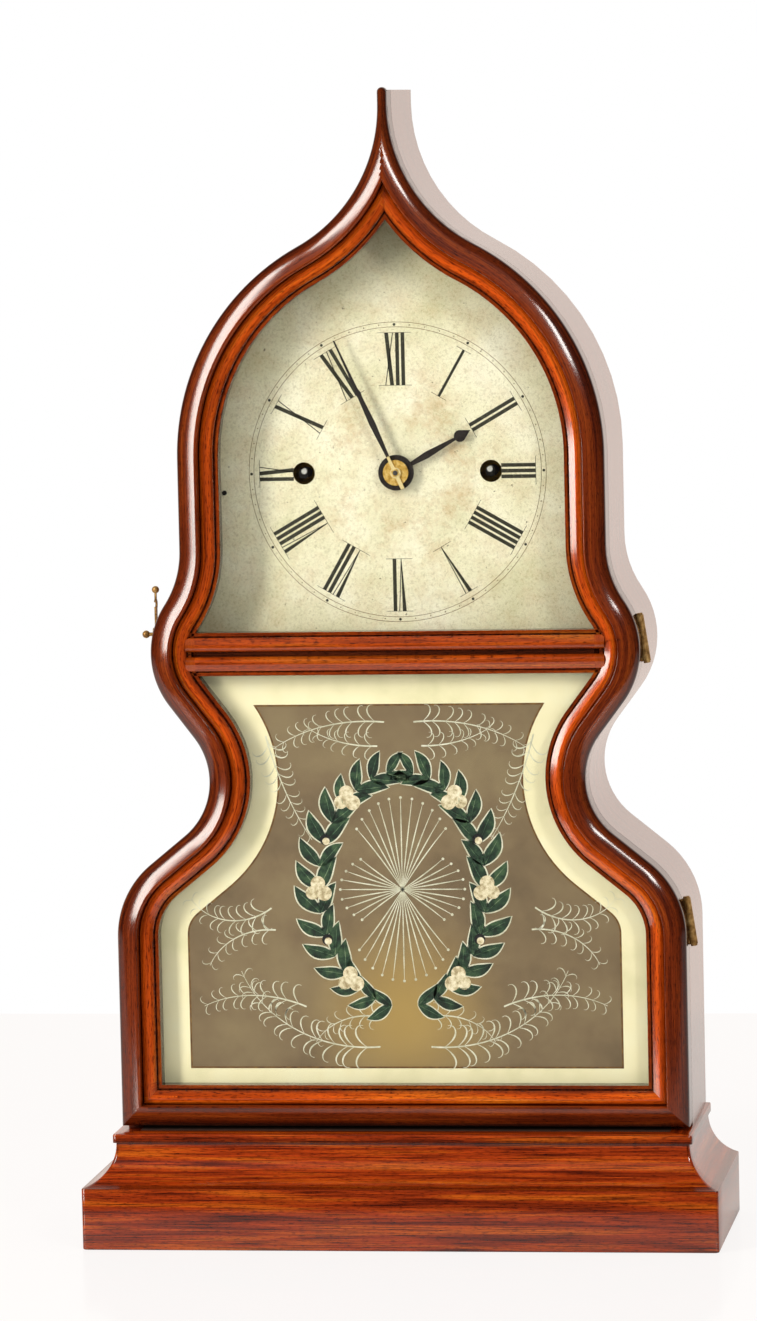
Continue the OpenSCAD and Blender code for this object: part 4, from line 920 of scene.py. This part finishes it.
def drawDisc(radius, y, name, centre=(0, 0), thickness=0.02, sides=48):
    return drawPlate([(centre[0] + radius * math.sin(2 * math.pi * i / sides),
                       centre[1] + radius * math.cos(2 * math.pi * i / sides)) for i in range(sides)],
                     y, name, thickness)


def drawRing(inner, outer, y, name, thickness=0.02, steps=120):
    piece = drawChain([Vector((r, level, 0)) * mm for r, level in
                       ((inner, y), (outer, y), (outer, y + thickness), (inner, y + thickness))], name)
    bpy.ops.mesh.spin(steps=steps, angle=math.radians(360), center=(0, 0, 0), axis=(0, 1, 0))
    bpy.ops.object.mode_set(mode="OBJECT")
    closeSolid(piece)
    return piece


def turned(x, z, clockwise=0.0, size=(1, 1, 1)):
    return (Matrix.Translation(Vector((x, 0, z)) * mm) @ Matrix.Rotation(math.radians(clockwise), 4, "Y")
            @ Matrix.Diagonal((*size, 1)))


# Dial: chapter ring of black numerals between two fine brown rings, feet to the centre
dialShape = {"centre": (0, 415), "face": -3.0, "inner": 46.9, "outer": 75.3, "rim": 56.6, "gap": 1.05,
             "wide": {"I": 2.0, "X": 4.8, "V": 4.1}, "serif": 0.24, "serifOver": 3.6,
             "holeHours": (3, 9), "rings": (78.4, 81.0), "ringLine": 0.28, "dots": 79.7, "raised": 43.0,
             "numerals": ("XII", "I", "II", "III", "IIII", "V", "VI", "VII", "VIII", "IX", "X", "XI")}


def makeNumerals(shape):
    a, b, y = shape["inner"], shape["outer"], shape["face"] - 0.06
    strokes = {"I": [drawPlate([(-1, a), (-1, b), (1, b), (1, a)], y, "bar", 0.04)],
               "X": [drawPlate([(-2.4, b), (-0.3, b), (2.4, a), (0.3, a)], y, "heavy", 0.04),
                     drawPlate([(1.9, b), (2.4, b), (-1.9, a), (-2.4, a)], y, "hair", 0.03)],
               "V": [drawPlate([(-2.05, b), (0.1, b), (0.6, a), (0.3, a)], y, "heavy", 0.04),
                     drawPlate([(1.55, b), (2.05, b), (0.65, a), (0.25, a)], y, "hair", 0.03)]}
    line = drawPlate([(-1, 0), (-1, shape["serif"]), (1, shape["serif"]), (1, 0)], y, "serif", 0.04)
    made = []
    for hour, letters in enumerate(shape["numerals"]):
        total = sum(shape["wide"][c] for c in letters) + shape["gap"] * (len(letters) - 1)
        x = -total / 2
        place = turned(*shape["centre"], 30 * hour)
        besideHole = hour in shape["holeHours"]
        for c in letters:
            thin = 0.75 if letters == "I" else 1
            for stroke in strokes[c]:
                spot = turned(x + shape["wide"][c] / 2, 0, 0, (thin, 1, 1))
                made.append(copyPiece(stroke, place @ spot))
                if besideHole:
                    # The strokes beside a winding hole end at its rim
                    side = 1 if hour < 6 else -1
                    editAll(made[-1])
                    cutAway((side * shape["rim"], 0, 0), (-side, 0, 0))
                    bpy.ops.object.mode_set(mode="OBJECT")
            x += shape["wide"][c] + shape["gap"]
        for z in ((b,) if besideHole else (a, b)):
            z -= shape["serif"] / 2
            made.append(copyPiece(line, place @ turned(0, z, 0, (total / 2 + shape["serifOver"], 1, 1))))
    for template in [line] + [stroke for group in strokes.values() for stroke in group]:
        bpy.data.objects.remove(template)
    finishPiece(joinPieces(made, "dialNumerals"), "dialNumerals", "case", inkPaint,
                smooth=0)


def makeMinuteRing(shape):
    y = shape["face"] - 0.05
    parts = [drawRing(r - shape["ringLine"] / 2, r + shape["ringLine"] / 2, y, "ring", 0.03)
             for r in shape["rings"]]
    for part in parts:
        part.matrix_world = turned(*shape["centre"])
    small = drawDisc(0.34, y, "minuteDot", (0, shape["dots"]), 0.03, 10)
    bold = drawDisc(0.78, y - 0.01, "fiveDot", (0, shape["dots"]), 0.04, 14)
    dots = []
    for minute in range(60):
        group, dot = (parts, small) if minute % 5 else (dots, bold)
        group.append(copyPiece(dot, turned(*shape["centre"], 6 * minute)))
    for template in (small, bold):
        bpy.data.objects.remove(template)
    for group, name, ink in ((parts, "dialMinuteRing", lineInk), (dots, "dialFiveDots", inkPaint)):
        finishPiece(joinPieces(group, name), name, "case", ink, smooth=0)


def makeDialCentre(shape):
    # The raised middle of the dial, a shallow step with a soft edge
    y, r = shape["face"], shape["raised"]
    piece = drawChain([Vector(p) * mm for p in ((0, y, 0), (0, y - 0.22, 0), (r - 1.4, y - 0.22, 0),
                                                (r - 0.7, y - 0.16, 0), (r, y, 0))], "dialCentre")
    bpy.ops.mesh.spin(steps=90, angle=math.radians(360), center=(0, 0, 0), axis=(0, 1, 0))
    bpy.ops.object.mode_set(mode="OBJECT")
    closeSolid(piece)
    piece.matrix_world = turned(*shape["centre"])
    finishPiece(piece, "dialCentre", "case", dialPaint)


makeNumerals(dialShape)
makeMinuteRing(dialShape)
makeDialCentre(dialShape)
print("dial painted")

# Tablet: paint behind the pane. A cream border, a taupe panel with a gold line, and a laurel wreath
# with pen scrolls of this scene's own design.
tabletShape = {"low": 79.3, "high": 313.0, "inset": 16.8, "panelInset": (34.5, 36.3), "panelLow": 92.2,
               "panelHigh": 290.8, "line": 1.0, "levels": (-17.99, -17.97, -17.95, -17.93),
               "wreath": {"centre": (0, 190), "half": (46, 64), "leaves": 15, "leaf": (18, 6.6)}}


def panelOutline(inset, low, high, widen=0.0):
    right = insetPath(inset, low, high, widen)
    points = [(p.x, p.y) for p in right]
    return points + [(-x, z) for x, z in reversed(points)]


def makePanels(shape):
    cream = drawPlate(panelOutline(shape["inset"], shape["low"], shape["high"]), shape["levels"][3],
                      "tabletCream")
    finishPiece(cream, "tabletCream", "door", creamPaint, smooth=0)
    (inset, wider), edge = shape["panelInset"], shape["line"]
    gold = drawPlate(panelOutline(inset, shape["panelLow"], shape["panelHigh"], wider - inset),
                     shape["levels"][2], "tabletLine")
    finishPiece(gold, "tabletLine", "door", goldPaint, smooth=0)
    taupe = drawPlate(panelOutline(inset + edge, shape["panelLow"] + edge, shape["panelHigh"] - edge,
                                   wider - inset), shape["levels"][1], "tabletPanel")
    finishPiece(taupe, "tabletPanel", "door", taupePaint, smooth=0)


def leafPoints(length, width, grow, count=9):
    # A pointed leaf that bends a little to one side
    points = []
    for side, order in ((1, range(count + 1)), (-1, range(count - 1, 0, -1))):
        for i in order:
            t = i / count
            half = (width / 2 * math.sin(math.pi * t ** 0.85) ** 0.9
                    + grow * (0.35 + math.sin(math.pi * t)))
            bend = 0.12 * length * math.sin(math.pi * t) * t
            points.append((side * half + bend, (length + 2 * grow) * t - grow))
    return points


def makeWreath(shape):
    wreath, level = shape["wreath"], shape["levels"][0]
    length, width = wreath["leaf"]
    green = drawPlate(leafPoints(length, width, 0), level, "leaf")
    white = drawPlate(leafPoints(length, width, 0.55), level + 0.01, "leafEdge", 0.008)
    rib = drawPlate([(-0.16, 1), (0.5, length * 0.5), (0.9, length * 0.86), (0.2, length * 0.5),
                     (0.14, 1)], level - 0.006, "leafRib", 0.004)
    greens, whites, ribs = [], [], []
    cx, cz = wreath["centre"]
    for side in (-1, 1):
        for i in range(wreath["leaves"]):
            t = math.pi * (0.05 + 0.9 * i / (wreath["leaves"] - 1))
            x, z = math.sin(t) * wreath["half"][0], -math.cos(t) * wreath["half"][1]
            heading = math.degrees(math.atan2(math.cos(t) * wreath["half"][0],
                                              math.sin(t) * wreath["half"][1]))
            for spread in (38, -34):
                size = (0.8 + 0.28 * math.sin(t)) * random.uniform(0.92, 1.08)
                lean = heading + spread + random.uniform(-5, 5)
                place = turned(side * (cx + x), cz + z, side * lean, (side * size, 1, size))
                greens.append(copyPiece(green, place))
                whites.append(copyPiece(white, place))
                ribs.append(copyPiece(rib, place))
    for template in (green, white, rib):
        bpy.data.objects.remove(template)
    for parts, name, finish in ((greens, "wreathLeaves", leafPaint),
                                (whites, "wreathEdges", whitePaint), (ribs, "wreathRibs", ribPaint)):
        piece = joinPieces(parts, name)
        closeSolid(piece)
        finishPiece(piece, name, "door", finish, smooth=0)


def ribbonPoints(path, widths):
    left, right = [], []
    for i, spot in enumerate(path):
        along = (path[min(i + 1, len(path) - 1)] - path[max(i - 1, 0)]).normalized()
        side = Vector((along.y, -along.x)) * widths[i] / 2
        left.append(tuple(spot + side))
        right.append(tuple(spot - side))
    return left + right[::-1]


def scrollPath(start, heading, length, curls, count):
    # A pen stroke whose curl changes along its way: curls are turns per length at start and end
    path, spot, angle = [Vector(start)], Vector(start), math.radians(heading)
    for i in range(count):
        t = (i + 0.5) / count
        angle += math.radians((curls[0] + (curls[1] - curls[0]) * t ** 2) / count)
        spot = spot + Vector((math.sin(angle), math.cos(angle))) * length / count
        path.append(spot.copy())
    return path


# Sprays are a curved stem with curls down both sides: start, heading, length, bend, pairs, curl size
penSprays = [((14, 104), 96, 92, -62, 15, (1.15, 0.55)), ((54, 126), 66, 58, 42, 10, (0.95, 0.5)),
             ((72, 180), 128, 50, -80, 9, (0.9, 0.5)), ((70, 168), 84, 44, 60, 7, (0.75, 0.45)),
             ((8, 281), 84, 64, 34, 11, (0.85, 0.5)), ((73, 274), 194, 62, 16, 11, (0.9, 0.4)),
             ((12, 120), 76, 42, 60, 7, (0.7, 0.4)), ((12, 268), 92, 40, -30, 7, (0.7, 0.4))]
# Fans of fine rays from the middle of the wreath: heading from, to, step, length
penFans = [(-32, 32, 6.4, 50), (58, 122, 8, 34), (148, 212, 6.4, 50), (238, 302, 8, 34)]
pen = {"width": 0.52, "curlLength": 15, "curlTurn": (30, 430), "steps": 26, "raySteps": 12,
       "lean": 34, "bow": 16}


def makePenwork(shape):
    level, strokes, n = shape["levels"][0] + 0.012, [], pen["steps"]
    path = scrollPath((0, 0), 0, pen["curlLength"], pen["curlTurn"], n)
    widths = [pen["width"] * (0.45 + 1.1 * math.sin(math.pi * i / n) ** 2) for i in range(n + 1)]
    curl = drawPlate(ribbonPoints(path, widths), level, "penCurl", 0.006)
    for start, heading, length, bend, pairs, (large, small) in penSprays:
        path = scrollPath(start, heading, length, (bend, bend * 1.5), n)
        widths = [pen["width"] * (0.5 + 1.2 * (1 - i / n)) for i in range(n + 1)]
        stem = drawPlate(ribbonPoints(path, widths), level, "penStem", 0.006)
        strokes += [stem, copyPiece(stem, turned(0, 0, 0, (-1, 1, 1)))]
        for k in range(pairs):
            i = round(2 + (n - 3) * k / (pairs - 1))
            along = path[i + 1] - path[i - 1]
            angle = math.degrees(math.atan2(along.x, along.y))
            size = large + (small - large) * k / (pairs - 1)
            for lean in (pen["lean"], -pen["lean"]):
                for side in (-1, 1):
                    place = turned(side * path[i].x, path[i].y, side * (angle + lean),
                                   (side * math.copysign(size, lean), 1, size))
                    strokes.append(copyPiece(curl, place))
    cx, cz = shape["wreath"]["centre"]
    for first, last, step, length in penFans:
        count = round((last - first) / step)
        for k in range(count + 1):
            heading = first + (last - first) * k / count
            bow, rays = pen["bow"] * (k / count - 0.5), pen["raySteps"]
            reach = length * (0.82 + 0.18 * math.cos(math.pi * (k / count - 0.5)))
            path = scrollPath((cx, cz), heading, reach, (bow, bow), rays)
            widths = [pen["width"] * (0.35 + 0.9 * math.sin(math.pi * i / rays))
                      for i in range(rays + 1)]
            strokes.append(drawPlate(ribbonPoints(path, widths), level, "penRay", 0.006))
            strokes.append(drawDisc(0.75, level, "penDot", tuple(path[-1]), 0.006, 10))
    bpy.data.objects.remove(curl)
    piece = joinPieces(strokes, "tabletPenwork")
    closeSolid(piece)
    finishPiece(piece, "tabletPenwork", "door", whitePaint, smooth=0)


def wreathSpot(wreath, side, t):
    # A place on the wreath's oval, by its share of the way up one side
    return (math.sin(math.pi * t) * wreath["half"][0] * side,
            wreath["centre"][1] - math.cos(math.pi * t) * wreath["half"][1])


def makeFruit(shape):
    level = shape["levels"][0] - 0.012
    fruits, eyes = [], []
    for side in (-1, 1):
        for t in (0.22, 0.5, 0.78):
            x, z = wreathSpot(shape["wreath"], side, t)
            for dx, dz, r in ((-3.2, -2.0, 4.1), (3.3, -1.7, 3.7), (0.2, 3.4, 4.0)):
                spot = (x + side * dx, z + dz)
                fruits.append(drawDisc(r, level + 0.002 * dx, "fruit", spot, 0.01, 20))
        for t in (0.36, 0.64):
            x, z = wreathSpot(shape["wreath"], side, t)
            eyes.append(drawDisc(3.0, level, "eye", (x, z), 0.008, 20))
            fruits.append(drawDisc(2.0, level - 0.008, "eyeLight", (x + 0.4, z - 0.9), 0.006, 16))
    for group, name, paint in ((fruits, "wreathFruit", berryPaint), (eyes, "wreathEyes", eyePaint)):
        finishPiece(joinPieces(group, name), name, "door", paint, smooth=0)


makePanels(tabletShape)
makeWreath(tabletShape)
makePenwork(tabletShape)
makeFruit(tabletShape)
print("tablet painted")

# Floor and studio
studio = {"floorWidth": 6.0, "floorFront": -0.45, "floorBack": 0.79, "floor": "#f4f1ee",
          "floorGlow": 0.85, "fillLight": 0.69, "bright": (0.45, 0.85), "dim": 0.03,
          "left": {"place": (-1.35, -1.4, 1.0), "aim": 0.9, "size": (0.4, 1.6), "power": 40,
                   "colour": (1.0, 0.95, 0.88)},
          "right": {"place": (1.15, -1.55, 1.2), "aim": 0.33, "size": (0.24, 0.5), "power": 11,
                    "colour": (1.0, 0.97, 0.93)},
          "fill": {"place": (0.0, -1.8, 1.8), "aim": 0.33, "size": (2.4, 1.0), "power": 2,
                   "colour": (1.0, 1.0, 0.97)}}


def makeFloor(look):
    clearSelection()
    bpy.ops.mesh.primitive_plane_add(size=1)
    floor = bpy.context.object
    floor.name = "paleTable"
    floor.scale = (look["floorWidth"], look["floorBack"] - look["floorFront"], 1)
    floor.location = (0, (look["floorBack"] + look["floorFront"]) / 2, 0)
    bpy.ops.object.transform_apply(location=True, scale=True)
    material, tree = newMaterial("paleTableTop")
    shader = addNode(tree, "BsdfPrincipled", {"Base Color": linear(look["floor"]), "Roughness": 0.12,
                                              "Specular IOR Level": 0.35})
    # The camera sees the table nearly as white as the paper behind it, with the shadow left in
    path = addNode(tree, "LightPath")
    share = addNode(tree, "Math", {1: look["floorGlow"]}, {0: path.outputs["Is Camera Ray"]},
                    operation="MULTIPLY")
    glow = addNode(tree, "Emission", {"Color": linear("#fffdfc")})
    both = addNode(tree, "MixShader",
                   links={0: share.outputs[0], 1: shader.outputs[0], 2: glow.outputs[0]})
    floor.data.materials.append(closeMaterial(material, both))


def addLamp(name, look):
    data = bpy.data.lights.new(name, "AREA")
    data.shape = "RECTANGLE"
    data.size, data.size_y = look["size"]
    data.energy = look["power"]
    data.color = look["colour"]
    lamp = bpy.data.objects.new(name, data)
    bpy.context.scene.collection.objects.link(lamp)
    lamp.location = look["place"]
    ray = Vector((0, 0, look["aim"])) - Vector(look["place"])
    lamp.rotation_euler = ray.to_track_quat("-Z", "Y").to_euler()


def lightWorld(look):
    # White paper to the eye, an even light on the object, and for gloss bright only behind it
    world = bpy.data.worlds.new("paleStudio")
    bpy.context.scene.world = world
    world.use_nodes = True
    tree = world.node_tree
    tree.nodes.clear()
    coords = addNode(tree, "TexCoord")
    split = addNode(tree, "SeparateXYZ", links={"Vector": coords.outputs["Generated"]})
    behind = addRange(tree, split.outputs["Y"], look["bright"], (look["dim"], 1.0))
    path = addNode(tree, "LightPath")
    strength = addNode(tree, "Mix", {2: look["fillLight"]},
                       {0: path.outputs["Is Glossy Ray"], 3: behind}, data_type="FLOAT")
    seen = addNode(tree, "Mix", {3: 1.0}, {0: path.outputs["Is Camera Ray"], 2: strength.outputs[0]},
                   data_type="FLOAT")
    tint = addNode(tree, "Mix", {6: linear("#ffffff"), 7: linear("#fff0e6")},
                   {0: path.outputs["Is Glossy Ray"]}, data_type="RGBA")
    shader = addNode(tree, "Background", links={"Color": tint.outputs[2], "Strength": seen.outputs[0]})
    addNode(tree, "OutputWorld", links={"Surface": shader.outputs[0]})


makeFloor(studio)
for lampName in ("left", "right", "fill"):
    addLamp(lampName + "Lamp", studio[lampName])
lightWorld(studio)
print("floor and lamps set")
